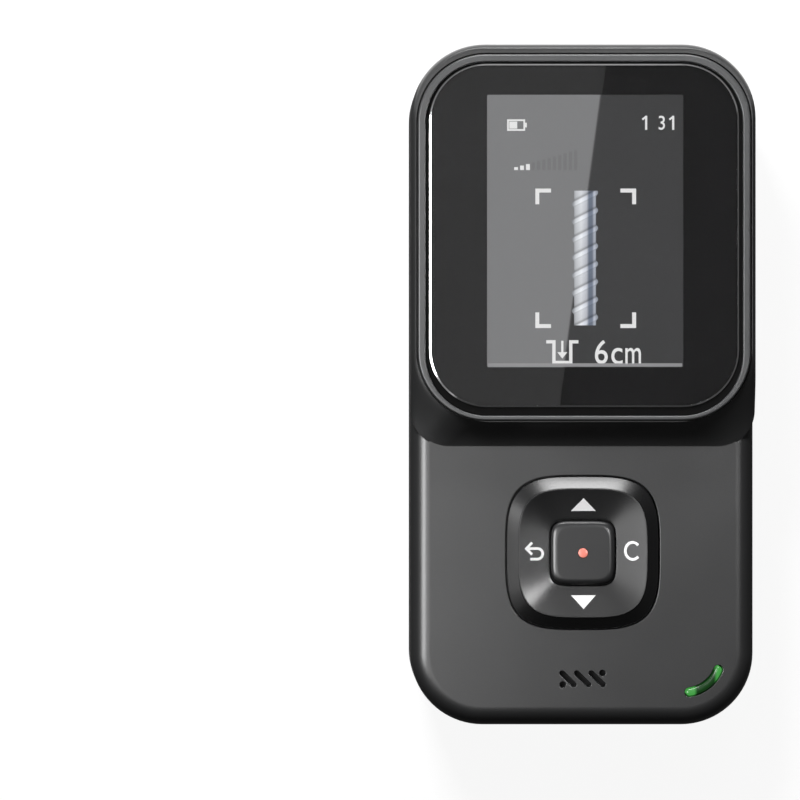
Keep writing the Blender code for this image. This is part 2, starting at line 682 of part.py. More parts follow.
def rear_shell():
    """Moulded back: battery bay with door grooves, posts, bosses and foot seats."""
    shell = back_form("rear_shell", "back_plastic")
    inner_edge = BACK_EDGE - WALL
    corner = edge_round(0.0, 0.0, inner_edge, 3)
    hollow = [(WALL + WALL_LEAN + inset, FLOOR_HEIGHT - height) for inset, height in reversed(corner)]
    hollow.append((WALL, PARTING_HEIGHT + CUT_THROUGH))
    rings = [at_height(body_outline(inset), height) for inset, height in hollow]
    cut(shell, lofted("back_hollow", rings))

    ledge_top = DOOR_INSIDE + GAP + DOOR_LEDGE
    tongue_x = DOOR_HALF_X + DOOR_TONGUE + GAP
    base_x = tongue_x + BAY_WALL
    low = BACK_HEIGHT + WALL / 2
    bay_x = BAY_HALF_X + BAY_WALL
    foot = BAY_FOOT_Y - BAY_WALL
    head = BAY_TOP_Y + BAY_WALL
    end = FOOT_END_Y + WALL + 2 * GAP
    join(shell, block("bay_base", -base_x, base_x, end, head + DOOR_OVERLAP, low, ledge_top))
    join(shell, block("bay_walls", -bay_x, bay_x, foot, head, low + GAP, BAY_CEILING + BAY_WALL))
    join(shell, *rear_posts(), *rear_bosses())

    below = -CUT_THROUGH
    outside = FOOT_END_Y - CUT_THROUGH
    recess_x = DOOR_HALF_X + GAP
    recess_top = head + DOOR_OVERLAP - BAY_WALL
    cut(shell, block("bay_room", -BAY_HALF_X, BAY_HALF_X, BAY_FOOT_Y, BAY_TOP_Y, below, BAY_CEILING))
    cut(shell, block("door_recess", -recess_x, recess_x, outside, recess_top, below, DOOR_INSIDE + GAP))
    groove_low = tongue_underside() - GAP
    groove_high = groove_low + DOOR_TONGUE_THICKNESS + 2 * GAP
    groove_end = door_head_y() - DOOR_TONGUE_END_GAP + 2 * GAP
    cut(shell, block("door_groove", -tongue_x, tongue_x, outside, groove_end, groove_low, groove_high))
    cut(shell, *foot_seats())
    cut(shell, *screw_bores("clearance", SCREW_SHANK_RADIUS + GAP, below, boss_ceiling))
    head_room = BACK_HEIGHT + SCREW_RECESS + SCREW_HEAD_HEIGHT + GAP
    for number, x, y in case_screw_places():
        radius = SCREW_HEAD_RADIUS + GAP
        cut(shell, turned(f"counterbore_{number}", [(radius, below), (radius, head_room)], x, y))
    for number, x, y in board_screw_places():
        radius = BOARD_SCREW_SHANK_RADIUS + GAP
        deep = BOARD_TOP - BOARD_SCREW_LENGTH - GAP
        profile = [(radius, deep), (radius, BOARD_UNDERSIDE)]
        cut(shell, turned(f"board_pilot_{number}", profile, x, y, steps=12))
    return shell


def door_head_y():
    """The y of the door's head edge."""
    return BAY_TOP_Y + DOOR_OVERLAP - GAP


def tongue_underside():
    """Height of the underside of the door's tongues."""
    return BACK_HEIGHT + (DOOR_THICKNESS - DOOR_TONGUE_THICKNESS) / 2 + GAP


def rear_bosses():
    """Bosses on the back wall that the case screws pass through."""
    bosses = []
    step = BACK_HEIGHT + SCREW_RECESS + SCREW_HEAD_HEIGHT + GAP + BAY_WALL
    profile = [
        (BOSS_FOOT_RADIUS, BACK_HEIGHT + WALL / 2),
        (BOSS_FOOT_RADIUS, step),
        (BOSS_RADIUS, step),
        (BOSS_RADIUS, PARTING_HEIGHT - GAP),
    ]
    for number, x, y in case_screw_places():
        bosses.append(turned(f"rear_boss_{number}", profile, x, y))
    return bosses


def board_screw_places():
    """Number, x and y of each circuit board screw."""
    places = [(x, y) for y in BOARD_SCREW_Y for x in (-BOARD_SCREW_X, BOARD_SCREW_X)]
    return [(number + 1, x, y) for number, (x, y) in enumerate(places)]


def rear_posts():
    """Posts that carry the circuit board, and low pads under the sensor board."""
    posts = []
    low = BACK_HEIGHT + WALL / 2
    for number, x, y in board_screw_places():
        profile = [(POST_RADIUS, low), (POST_RADIUS, BOARD_UNDERSIDE - GAP)]
        posts.append(turned(f"board_post_{number}", profile, x, y, steps=16))
    reach = SENSOR_SIZE / 2 - 2 * POST_RADIUS
    for number, (x, y) in enumerate(((-1, -1), (1, -1), (-1, 1), (1, 1))):
        profile = [(POST_RADIUS, low), (POST_RADIUS, SENSOR_UNDERSIDE - GAP)]
        place = (x * reach / 2, SENSOR_CENTRE_Y + y * reach)
        posts.append(turned(f"sensor_pad_{number}", profile, *place, steps=16))
    return posts


def foot_places():
    """Number, x and y of each wear pad."""
    places = [(x, y) for y in (FOOT_Y, -FOOT_Y) for x in (-FOOT_X, FOOT_X)]
    return [(number + 1, x, y) for number, (x, y) in enumerate(places)]


def foot_seats():
    """Cutters for the shallow seats of the wear pads."""
    seats = []
    for number, x, y in foot_places():
        radius = FOOT_RADIUS + GAP
        profile = [(radius, -CUT_THROUGH), (radius, BACK_HEIGHT + FOOT_SEAT)]
        seats.append(turned(f"foot_seat_{number}", profile, x, y))
    return seats


def wear_pads():
    """Low-friction pads that the scanner slides on, each with a rounded lower edge."""
    top = BACK_HEIGHT + FOOT_SEAT - GAP
    soft = FOOT_HEIGHT / 3
    for number, x, y in foot_places():
        profile = [(FOOT_RADIUS - soft, 0.0), (FOOT_RADIUS, soft), (FOOT_RADIUS, top)]
        turned(f"wear_pad_{number}", profile, x, y, "felt")


def battery_door():
    """Sliding door: it follows the body's rounded end and has a tongue along each side."""
    door = back_form("battery_door", "back_plastic")
    outside = FOOT_END_Y - CUT_THROUGH
    region = block(
        "door_region", -DOOR_HALF_X, DOOR_HALF_X, outside, door_head_y(), -CUT_THROUGH, DOOR_INSIDE
    )
    apply_boolean(door, region, "INTERSECT")
    low = tongue_underside()
    reach = DOOR_HALF_X + DOOR_TONGUE
    foot = FOOT_END_Y + BACK_EDGE
    head = door_head_y() - DOOR_TONGUE_END_GAP
    join(door, block("door_tongues", -reach, reach, foot, head, low, low + DOOR_TONGUE_THICKNESS))
    for number in range(DOOR_GRIP_COUNT):
        y = foot + (number + 1) * DOOR_GRIP_PITCH
        half = DOOR_GRIP_LENGTH / 2
        width = DOOR_GRIP_WIDTH / 2
        outline = rounded(half, y - width, y + width, 0.9 * width, steps=3)
        cut(door, prism(f"door_grip_{number}", outline, -CUT_THROUGH, BACK_HEIGHT + DOOR_GRIP_DEPTH))
    set_origin(door, 0.0, door_head_y(), BACK_HEIGHT)
    return door


def bezel_outline(inset, foot_inset):
    """Outline of the bezel, drawn in by an inset that may differ at its foot."""
    return rounded(
        BEZEL_WIDTH / 2 - inset,
        BEZEL_FOOT_Y + foot_inset,
        BEZEL_HEAD_Y - inset,
        BEZEL_RADIUS - inset,
    )


def head_bezel():
    """Rim around the lens, with rounded upper edges and a narrower foot."""
    low = LEDGE_HEIGHT + GAP
    rings = [at_height(bezel_outline(0.0, 0.0), low)]
    for inset, height in edge_round(0.0, BEZEL_TOP, BEZEL_ROUND, 4):
        rings.append(at_height(bezel_outline(inset, inset), height))
    for outset, height in reversed(edge_round(0.0, BEZEL_TOP, BEZEL_ROUND / 2, 3)):
        outline = bezel_outline(BEZEL_BAND - outset, BEZEL_FOOT_BAND - outset)
        rings.append(at_height(outline, height))
    rings.append(at_height(bezel_outline(BEZEL_BAND, BEZEL_FOOT_BAND), low))
    return lofted("head_bezel", rings, "bezel_plastic", closed=True)


def display_lens():
    """Cover glass with a polished chamfer round its face."""
    top = LENS_UNDERSIDE + LENS_THICKNESS
    rings = [
        at_height(lens_outline(), LENS_UNDERSIDE),
        at_height(lens_outline(), top - LENS_CHAMFER),
        at_height(lens_outline(LENS_CHAMFER), top),
    ]
    return lofted("display_lens", rings, "lens_glass")


def frame_ring(name, outer, inner, low, high, finish_name):
    """A flat frame between two outlines of equal length."""
    rings = [at_height(outer, low), at_height(outer, high), at_height(inner, high), at_height(inner, low)]
    return lofted(name, rings, finish_name, closed=True)


def lens_gasket():
    """Adhesive foam frame between the ledge and the lens."""
    low = LEDGE_HEIGHT + GAP
    low_y = MODULE_FOOT_Y - 2 * GAP
    high_y = MODULE_HEAD_Y + 2 * GAP
    inner = rounded(MODULE_WIDTH / 2 + GASKET_ROOM, low_y, high_y, GASKET_ROOM)
    return frame_ring("lens_gasket", lens_outline(2 * GAP), inner, low, GASKET_TOP, "foam")


def display_parts():
    """Display module, the tray that carries it, and its ribbon down to the board."""
    prism("display_module", module_outline(0.0, 0.0008), MODULE_UNDERSIDE, MODULE_TOP, "display")

    floor_top = TRAY_UNDERSIDE + TRAY_FLOOR
    outline = module_outline(TRAY_BAND, TRAY_RADIUS)
    tray = prism("display_tray", outline, TRAY_UNDERSIDE, HEAD_CEILING - GAP, "inner_plastic")
    pocket = module_outline(GAP, 0.0010)
    cut(tray, prism("tray_pocket", pocket, floor_top, HEAD_CEILING + CUT_THROUGH))
    half = FLEX_WIDTH / 2 + GAP
    slot = (-half, half, FLEX_Y - 2 * GAP, FLEX_Y + 2 * GAP)
    cut(tray, block("tray_slot", *slot, TRAY_UNDERSIDE - CUT_THROUGH, floor_top + CUT_THROUGH))

    top = MODULE_UNDERSIDE - GAP / 2
    low = BOARD_TOP + GAP
    centre_y = FLEX_Y + FLEX_BEND
    centre_z = low + FLEX_BEND
    bend = [radians(180 + 90 * step / 8) for step in range(9)]
    outer = [(FLEX_Y, top)]
    outer += [(centre_y + FLEX_BEND * cos(a), centre_z + FLEX_BEND * sin(a)) for a in bend]
    outer.append((centre_y + 2 * FLEX_BEND, low))
    tight = FLEX_BEND - FLEX_THICKNESS
    inner = [(FLEX_Y + FLEX_THICKNESS, top)]
    inner += [(centre_y + tight * cos(a), centre_z + tight * sin(a)) for a in bend]
    inner.append((centre_y + 2 * FLEX_BEND, low + FLEX_THICKNESS))
    section = outer + list(reversed(inner))
    rings = [[(side * FLEX_WIDTH / 2, y, z) for y, z in section] for side in (-1, 1)]
    lofted("display_flex", rings, "flex_film")


def nav_pad():
    """Four-way pad: flange under the panel, raised flank, dished face and hub, pegs beneath."""
    hole = BUTTON_SIZE + 2 * RUNNING_GAP
    crest = PANEL_HEIGHT + PAD_CREST_RISE
    dish = crest - PAD_DISH_DEPTH
    hub = hole + 2 * PAD_WALL
    skirt = PAD_SIZE - 2 * PAD_WALL
    pocket = dish - PAD_WALL
    profile = [
        (PAD_FLANGE_SIZE, FLANGE_UNDERSIDE),
        (PAD_FLANGE_SIZE, FLANGE_TOP),
        (PAD_SIZE, FLANGE_TOP),
    ]
    flank = [radians(18 * step) for step in range(6)]
    drop = PAD_SIZE - PAD_CREST_SIZE
    profile += [(PAD_SIZE - drop * (1 - cos(a)), PANEL_HEIGHT + PAD_CREST_RISE * sin(a)) for a in flank]
    for step in range(1, 6):
        share = step / 5
        size = PAD_CREST_SIZE - (PAD_CREST_SIZE - hole) * share
        profile.append((size, crest - PAD_DISH_DEPTH * (1 - (1 - share) ** 2)))
    profile += [
        (hole, FLANGE_UNDERSIDE),
        (hub, FLANGE_UNDERSIDE),
        (hub, pocket),
        (skirt, pocket),
        (skirt, FLANGE_UNDERSIDE),
    ]
    rings = []
    for size, height in profile:
        share = min(1.0, max(0.0, (PAD_CREST_SIZE - size) / (PAD_CREST_SIZE - hole)))
        power = SQUIRCLE_POWER + (BUTTON_POWER - SQUIRCLE_POWER) * share
        rings.append(at_height(squircle(size, PAD_CENTRE_Y, power), height))
    pad = lofted("nav_pad", rings, "key_plastic", closed=True)

    high = pocket + PAD_WALL / 3
    middle = CARRIER_SIZE / 2 - CARRIER_WALL / 2
    half = CARRIER_ARM_WIDTH / 2
    for side in (-1, 1):
        y = PAD_CENTRE_Y + side * middle
        lug = (-half, half, y - half, y + half)
        join(pad, block(f"pivot_lug_{side + 1}", *lug, CARRIER_TOP + GAP, high))
    pegs = [(0.0, PEG_SPREAD), (0.0, -PEG_SPREAD)]
    pegs += [(x, y) for x in (-PEG_SPREAD, PEG_SPREAD) for y in (-PEG_OFFSET, PEG_OFFSET)]
    low = MAT_TOP + CARRIER_CLEARANCE
    for number, (x, y) in enumerate(pegs):
        profile = [(PEG_RADIUS, low), (PEG_RADIUS, high)]
        join(pad, turned(f"peg_{number}", profile, x, PAD_CENTRE_Y + y, steps=8))
    set_origin(pad, 0.0, PAD_CENTRE_Y, PIVOT_HEIGHT)
    return pad


def pad_carrier():
    """Frame that the pad rocks on, with two arms that bear under the pivot ribs."""
    outer = squircle(CARRIER_SIZE, PAD_CENTRE_Y)
    inner = squircle(CARRIER_SIZE - 2 * CARRIER_WALL, PAD_CENTRE_Y, BUTTON_POWER)
    carrier = frame_ring("pad_carrier", outer, inner, CARRIER_UNDERSIDE, CARRIER_TOP, "inner_plastic")
    half = CARRIER_ARM_WIDTH / 2
    root = CARRIER_SIZE / 2 - CARRIER_WALL / 2
    thin = BLEND
    for side in (-1, 1):
        ends = sorted((side * root, side * CARRIER_ARM_REACH))
        arm = (*ends, PAD_CENTRE_Y - half, PAD_CENTRE_Y + half)
        join(carrier, block(f"arm_{side + 1}", *arm, CARRIER_UNDERSIDE + thin, CARRIER_TOP - thin))
    set_origin(carrier, 0.0, PAD_CENTRE_Y, PIVOT_HEIGHT)
    return carrier


def centre_button():
    """Hollow centre key with a bevelled face, a retaining flange and the seat of its light."""
    top = PANEL_HEIGHT + BUTTON_RISE
    low = MAT_TOP + BUTTON_TRAVEL_ROOM
    flange = BUTTON_SIZE + 2 * BUTTON_FLANGE
    inner = BUTTON_SIZE - 2 * BUTTON_WALL
    pocket = top - DOT_LENGTH - 2 * GAP - BUTTON_WALL
    profile = [
        (inner, pocket),
        (inner, low),
        (flange, low),
        (flange, low + BUTTON_FLANGE_THICKNESS),
        (BUTTON_SIZE, low + BUTTON_FLANGE_THICKNESS),
    ]
    profile += [(BUTTON_SIZE - 2 * inset, z) for inset, z in edge_round(0.0, top, BUTTON_BEVEL, 3)]
    rings = [at_height(squircle(size, PAD_CENTRE_Y, BUTTON_POWER), z) for size, z in profile]
    button = lofted("centre_button", rings, "key_plastic")
    dot_low = top + DOT_PROUD - DOT_LENGTH
    radius = DOT_RADIUS + DOT_GAP
    seat = [(radius, dot_low - GAP), (radius, top + CUT_THROUGH)]
    cut(button, turned("dot_seat", seat, 0.0, PAD_CENTRE_Y, steps=20))
    dome = [(DOT_RADIUS, dot_low), (DOT_RADIUS, top), (DOT_RADIUS * 0.7, top + DOT_PROUD)]
    light = turned("button_light", dome, 0.0, PAD_CENTRE_Y, "red_light", steps=20)
    for piece in (button, light):
        set_origin(piece, 0.0, PAD_CENTRE_Y, low)
    return button


def keypad_mat():
    """Silicone mat over the switches."""
    outline = squircle(MAT_SIZE, PAD_CENTRE_Y, BUTTON_POWER)
    return prism("keypad_mat", outline, MAT_TOP - MAT_THICKNESS, MAT_TOP, "rubber")


def tact_switches():
    """Five switches under the mat: one for each way of the pad and one for the button."""
    places = {
        "up": (0.0, PEG_SPREAD),
        "down": (0.0, -PEG_SPREAD),
        "left": (-PEG_SPREAD, 0.0),
        "right": (PEG_SPREAD, 0.0),
        "centre": (0.0, 0.0),
    }
    half = SWITCH_SIZE / 2
    low = BOARD_TOP + GAP
    body_top = SWITCH_TOP - SWITCH_HEIGHT / 3
    for name, (x, y) in places.items():
        centre_y = PAD_CENTRE_Y + y
        outline = rounded(half, centre_y - half, centre_y + half, half / 4, centre_x=x, steps=2)
        switch = prism(f"switch_{name}", outline, low, body_top, "steel")
        dome = [(half * 0.6, body_top - GAP), (half * 0.6, SWITCH_TOP - GAP / 2), (half * 0.4, SWITCH_TOP)]
        join(switch, turned(f"plunger_{name}", dome, x, centre_y, steps=12))


def light_leg():
    """The x and y of the light guide's leg and of the lamp below it."""
    angle = radians((LIGHT_START + LIGHT_END) / 2 - 10)
    reach = LIGHT_ARC_RADIUS - LIGHT_WIDTH
    return LIGHT_X + reach * cos(angle), LIGHT_Y + reach * sin(angle)


def status_light():
    """Green light guide: a flanged arc in the panel on a leg that stands over its lamp."""
    high = CEILING_HEIGHT - GAP
    profile = [
        (LIGHT_FLANGE_WIDTH, high - LIGHT_FLANGE_THICKNESS),
        (LIGHT_FLANGE_WIDTH, high),
        (LIGHT_WIDTH, high),
        (LIGHT_WIDTH, PANEL_HEIGHT),
        (LIGHT_WIDTH * 0.8, PANEL_HEIGHT + LIGHT_PROUD * 0.7),
        (LIGHT_WIDTH * 0.4, PANEL_HEIGHT + LIGHT_PROUD),
    ]
    guide = lofted("status_light", [at_height(arc_stroke(w), z) for w, z in profile], "green_light")
    x, y = light_leg()
    lamp_top = BOARD_TOP + GAP + LED_HEIGHT
    leg = [(LIGHT_LEG_RADIUS, lamp_top + GAP), (LIGHT_LEG_RADIUS, high - LIGHT_FLANGE_THICKNESS / 2)]
    join(guide, turned("light_leg", leg, x, y, steps=12))
    half = LED_SIZE / 2
    lamp = (x - half, x + half, y - half, y + half)
    block("status_lamp", *lamp, BOARD_TOP + GAP, lamp_top, "lamp")


def sound_parts():
    """Buzzer, the foam seal that leads its sound to the grille, and the dust cloth."""
    low = BOARD_TOP + GAP
    top = low + BUZZER_HEIGHT
    buzzer = turned(
        "buzzer", [(BUZZER_RADIUS, low), (BUZZER_RADIUS, top)], 0.0, GRILLE_CENTRE_Y, "inner_plastic"
    )
    mouth = [(BUZZER_MOUTH_RADIUS, top - BUZZER_HEIGHT / 2), (BUZZER_MOUTH_RADIUS, top + CUT_THROUGH)]
    cut(buzzer, turned("buzzer_mouth", mouth, 0.0, GRILLE_CENTRE_Y, steps=16))
    cloth_top = CEILING_HEIGHT - GAP
    cloth_low = cloth_top - SPEAKER_CLOTH_THICKNESS
    outer = circle(BUZZER_SEAL_RADIUS, 0.0, GRILLE_CENTRE_Y)
    inner = circle(BUZZER_SEAL_RADIUS - BUZZER_SEAL_WALL, 0.0, GRILLE_CENTRE_Y)
    frame_ring("buzzer_seal", outer, inner, top + GAP, cloth_low - GAP, "foam")
    cloth = circle(BUZZER_SEAL_RADIUS - BUZZER_SEAL_WALL / 2, 0.0, GRILLE_CENTRE_Y)
    prism("speaker_cloth", cloth, cloth_low, cloth_top, "felt")


def main_board():
    """Circuit board with screw holes and its larger chips."""
    outline = rounded(BOARD_WIDTH / 2, BOARD_FOOT_Y, BOARD_TOP_Y, BOARD_RADIUS, steps=4)
    board = prism("main_board", outline, BOARD_UNDERSIDE, BOARD_TOP, "circuit_board")
    for number, x, y in board_screw_places():
        radius = BOARD_SCREW_SHANK_RADIUS + GAP
        hole = [(radius, BOARD_UNDERSIDE - CUT_THROUGH), (radius, BOARD_TOP + CUT_THROUGH)]
        cut(board, turned(f"board_hole_{number}", hole, x, y, steps=12))
    chips = (
        ("processor", 0.0, SHIELD_CENTRE_Y, CHIP_SIZE, CHIP_SIZE, CHIP_HEIGHT),
        ("signal_chip", CHIP_SIZE * 1.3, SHIELD_CENTRE_Y, CHIP_SIZE * 0.6, CHIP_SIZE, CHIP_HEIGHT),
        ("flex_socket", 0.0, FLEX_Y + 4 * FLEX_BEND, FLEX_WIDTH, FLEX_BEND, CHIP_HEIGHT * 1.3),
        ("power_coil", -CHIP_SIZE * 2, FLEX_Y, CHIP_SIZE * 0.7, CHIP_SIZE * 0.7, CHIP_HEIGHT * 2.4),
        ("power_chip", CHIP_SIZE * 2, FLEX_Y, CHIP_SIZE * 0.6, CHIP_SIZE * 0.6, CHIP_HEIGHT),
    )
    for name, x, y, width, length, height in chips:
        sides = (x - width / 2, x + width / 2, y - length / 2, y + length / 2)
        join(board, block(name, *sides, BOARD_TOP - BOARD_THICKNESS / 3, BOARD_TOP + height))
    return board


def shield_can():
    """Pressed steel can over the signal stage, open below."""
    low = BOARD_TOP + GAP
    high = low + SHIELD_HEIGHT
    half_x = SHIELD_WIDTH / 2
    half_y = SHIELD_LENGTH / 2

    def outline(inset):
        return rounded(
            half_x - inset,
            SHIELD_CENTRE_Y - half_y + inset,
            SHIELD_CENTRE_Y + half_y - inset,
            SHIELD_RADIUS - inset,
            steps=3,
        )

    rings = [
        at_height(outline(SHIELD_WALL), high - SHIELD_WALL),
        at_height(outline(SHIELD_WALL), low),
        at_height(outline(0.0), low),
        at_height(outline(0.0), high - SHIELD_WALL),
        at_height(outline(SHIELD_WALL), high),
    ]
    return lofted("shield_can", rings, "steel")


def sensor_parts():
    """Sensor board on the back wall, with the search coil wound on its former."""
    half = SENSOR_SIZE / 2
    outline = rounded(half, SENSOR_CENTRE_Y - half, SENSOR_CENTRE_Y + half, BOARD_RADIUS, steps=4)
    top = SENSOR_UNDERSIDE + SENSOR_THICKNESS
    prism("sensor_board", outline, SENSOR_UNDERSIDE, top, "circuit_board")

    crown = COIL_BASE + COIL_FORMER_HEIGHT
    neck = COIL_HUB_RADIUS + COIL_HUB_WALL
    former = [
        (COIL_HUB_RADIUS, COIL_BASE),
        (COIL_RADIUS, COIL_BASE),
        (COIL_RADIUS, COIL_BASE + COIL_FLANGE),
        (neck, COIL_BASE + COIL_FLANGE),
        (neck, crown - COIL_FLANGE),
        (COIL_RADIUS, crown - COIL_FLANGE),
        (COIL_RADIUS, crown),
        (COIL_HUB_RADIUS, crown),
    ]
    place = (0.0, SENSOR_CENTRE_Y)
    turned("coil_former", former, *place, "inner_plastic", closed=True, steps=28)
    low = COIL_BASE + COIL_FLANGE + GAP
    high = crown - COIL_FLANGE - GAP
    start = neck + GAP
    rim = COIL_RADIUS + GAP
    winding = [(start, low), (rim, low), (rim, high), (start, high)]
    turned("search_coil", winding, *place, "copper", closed=True, steps=28)


def cell_places():
    """Number, x and way of each cell; 1 has its positive end to the head, -1 to the foot."""
    start = -CELL_PITCH * (CELL_COUNT - 1) / 2
    return [(n + 1, start + n * CELL_PITCH, 1 if n % 2 == 0 else -1) for n in range(CELL_COUNT)]


def turned_along_y(name, profile, centre_x, centre_z, finish_name):
    """A body turned about an axis along the scanner from (radius, y) pairs."""
    rings = []
    for radius, y in profile:
        ring = [(x, y, z) for x, z in circle(radius, centre_x, centre_z)]
        rings.append(ring)
    return lofted(name, rings, finish_name)


def power_parts():
    """Three cells side by side with a contact plate and a coil spring for each."""
    middle = (BAY_TOP_Y + BAY_FOOT_Y) / 2
    room = (BAY_TOP_Y - BAY_FOOT_Y) / 2
    soft = CELL_RADIUS / 12
    for number, x, way in cell_places():
        tip = room - 2 * GAP - PLATE_THICKNESS
        cap = tip - CELL_NUB_LENGTH
        tail = tip - CELL_LENGTH
        profile = [
            (CELL_RADIUS - soft, tail),
            (CELL_RADIUS, tail + soft),
            (CELL_RADIUS, cap - soft),
            (CELL_RADIUS - soft, cap),
            (CELL_NUB_RADIUS, cap),
            (CELL_NUB_RADIUS, tip),
        ]
        ends = [(radius, middle + way * y) for radius, y in profile]
        turned_along_y(f"battery_{number}", ends, x, CELL_AXIS_HEIGHT, "cell_sleeve")
        wide = CELL_RADIUS - 3 * GAP
        y_low, y_high = sorted((middle + way * (room - GAP), middle + way * (room - GAP - PLATE_THICKNESS)))
        sides = (x - wide, x + wide, y_low, y_high)
        name = f"contact_plate_{number}"
        block(name, *sides, CELL_AXIS_HEIGHT - wide, CELL_AXIS_HEIGHT + wide, "spring_steel")
        battery_spring(number, x, middle, way, tail - GAP, GAP - room)


def battery_spring(number, centre_x, middle, way, near, far):
    """Conical coil spring between the flat end of a cell and the end of the bay."""
    curve = bpy.data.curves.new(f"battery_spring_{number}", "CURVE")
    curve.dimensions = "3D"
    curve.bevel_depth = SPRING_WIRE / 2
    curve.bevel_resolution = 1
    curve.use_fill_caps = True
    steps = SPRING_TURNS * 9
    spline = curve.splines.new("POLY")
    spline.points.add(steps)
    start = near - SPRING_WIRE / 2
    travel = far + SPRING_WIRE / 2 - start
    for step in range(steps + 1):
        share = step / steps
        radius = CELL_RADIUS * (0.4 + 0.35 * share)
        angle = 2 * pi * SPRING_TURNS * share
        x = centre_x + radius * cos(angle)
        z = CELL_AXIS_HEIGHT + radius * sin(angle)
        spline.points[step].co = (x, middle + way * (start + travel * share), z, 1.0)
    curve.materials.append(finish("spring_steel"))
    spring = bpy.data.objects.new(f"battery_spring_{number}", curve)
    bpy.context.scene.collection.objects.link(spring)
    return spring


def screw(name, x, y, head_low, head_size, shank_size, up):
    """A screw; up is 1 where the shank points up and -1 where it points down."""
    head_radius, head_height = head_size
    shank_radius, length = shank_size
    profile = [
        (head_radius * 0.8, 0.0),
        (head_radius, head_height / 3),
        (head_radius, head_height),
        (shank_radius, head_height),
        (shank_radius, length - shank_radius),
        (shank_radius * 0.4, length),
    ]
    heights = [(radius, head_low + up * z) for radius, z in profile]
    return turned(name, heights, x, y, "steel", steps=12)


def cross_recess(body, x, y, head_low):
    """Cut a cross recess into the head of a screw that is driven from the back."""
    arm = SCREW_HEAD_RADIUS * 0.6
    slim = SCREW_HEAD_RADIUS * 0.13
    deep = (head_low - CUT_THROUGH, head_low + SCREW_HEAD_HEIGHT * 0.55)
    shallow = (head_low - CUT_THROUGH, head_low + SCREW_HEAD_HEIGHT * 0.5)
    cut(body, block(f"{body.name}_slot_a", x - arm, x + arm, y - slim, y + slim, *deep))
    cut(body, block(f"{body.name}_slot_b", x - slim, x + slim, y - arm, y + arm, *shallow))


def screws():
    """Case screws from the back, and board screws from the front."""
    head = (SCREW_HEAD_RADIUS, SCREW_HEAD_HEIGHT)
    shank = (SCREW_SHANK_RADIUS, SCREW_LENGTH)
    for number, x, y in case_screw_places():
        head_low = BACK_HEIGHT + SCREW_RECESS
        cross_recess(screw(f"case_screw_{number}", x, y, head_low, head, shank, 1), x, y, head_low)
    head = (BOARD_SCREW_HEAD_RADIUS, BOARD_SCREW_HEAD_HEIGHT)
    shank = (BOARD_SCREW_SHANK_RADIUS, BOARD_SCREW_LENGTH)
    for number, x, y in board_screw_places():
        top = BOARD_TOP + GAP + head[1]
        screw(f"board_screw_{number}", x, y, top, head, shank, -1)


def main():
    """Build every piece of the scanner."""
    remove_everything()
    front_shell()
    rear_shell()
    battery_door()
    head_bezel()
    display_lens()
    lens_gasket()
    display_parts()
    nav_pad()
    pad_carrier()
    centre_button()
    keypad_mat()
    tact_switches()
    status_light()
    sound_parts()
    main_board()
    shield_can()
    sensor_parts()
    power_parts()
    screws()
    wear_pads()


main()
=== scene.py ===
"""The finished look of a hand-held wall scanner, built round its packed construction model.

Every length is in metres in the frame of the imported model: X to the right, Y to the head, Z up
from the surface that the scanner lies on. The fields of the classes give lengths in millimetres.
"""

from __future__ import annotations

import json
import logging
from collections.abc import Callable
from dataclasses import dataclass
from enum import Enum
from math import atan2, copysign, cos, degrees, hypot, pi, radians, sin

import bmesh
import bpy
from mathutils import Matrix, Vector

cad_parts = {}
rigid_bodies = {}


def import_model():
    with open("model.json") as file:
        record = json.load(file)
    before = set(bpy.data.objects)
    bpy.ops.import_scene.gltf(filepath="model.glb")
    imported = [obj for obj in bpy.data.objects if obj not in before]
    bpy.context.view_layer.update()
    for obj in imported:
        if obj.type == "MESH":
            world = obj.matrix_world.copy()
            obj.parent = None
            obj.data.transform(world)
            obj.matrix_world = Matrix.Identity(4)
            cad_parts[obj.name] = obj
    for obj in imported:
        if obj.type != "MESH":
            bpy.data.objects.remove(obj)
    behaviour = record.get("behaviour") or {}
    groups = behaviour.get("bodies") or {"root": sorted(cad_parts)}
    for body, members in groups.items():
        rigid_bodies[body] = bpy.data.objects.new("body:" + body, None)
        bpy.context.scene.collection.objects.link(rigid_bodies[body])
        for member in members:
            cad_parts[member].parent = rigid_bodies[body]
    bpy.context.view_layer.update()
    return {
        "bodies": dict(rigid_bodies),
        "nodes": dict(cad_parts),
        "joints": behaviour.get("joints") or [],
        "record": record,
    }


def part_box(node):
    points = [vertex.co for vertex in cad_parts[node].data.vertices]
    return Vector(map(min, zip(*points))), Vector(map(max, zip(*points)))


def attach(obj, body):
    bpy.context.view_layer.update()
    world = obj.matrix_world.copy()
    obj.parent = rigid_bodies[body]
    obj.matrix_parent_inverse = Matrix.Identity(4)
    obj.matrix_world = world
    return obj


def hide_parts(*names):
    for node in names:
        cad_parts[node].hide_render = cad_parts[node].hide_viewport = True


Point = tuple[float, float]
Place = tuple[float, float, float]
Colour = tuple[float, float, float]
Box = tuple[float, float, float, float]
Outline = list[Point]
Widened = Callable[[float], Outline]
Thing = bpy.types.Object
Tree = bpy.types.NodeTree
Socket = bpy.types.NodeSocket

MM = 0.001
MERGE = 0.0005 * MM
WHITE = (1.0, 1.0, 1.0, 1.0)
SCREEN_BLACK = (0.006, 0.006, 0.0065, 1.0)
LOG = logging.getLogger("wall_scanner")


class Body(Enum):
    """Bodies of the construction model that a piece can ride on."""

    HOUSING = "housing"
    NAV_PAD = "nav_pad"
    CENTRE_BUTTON = "centre_button"
    BATTERY_DOOR = "battery_door"


class Ends(Enum):
    """How a printed stroke ends."""

    ROUND = "round"
    SQUARE = "square"


# Outlines


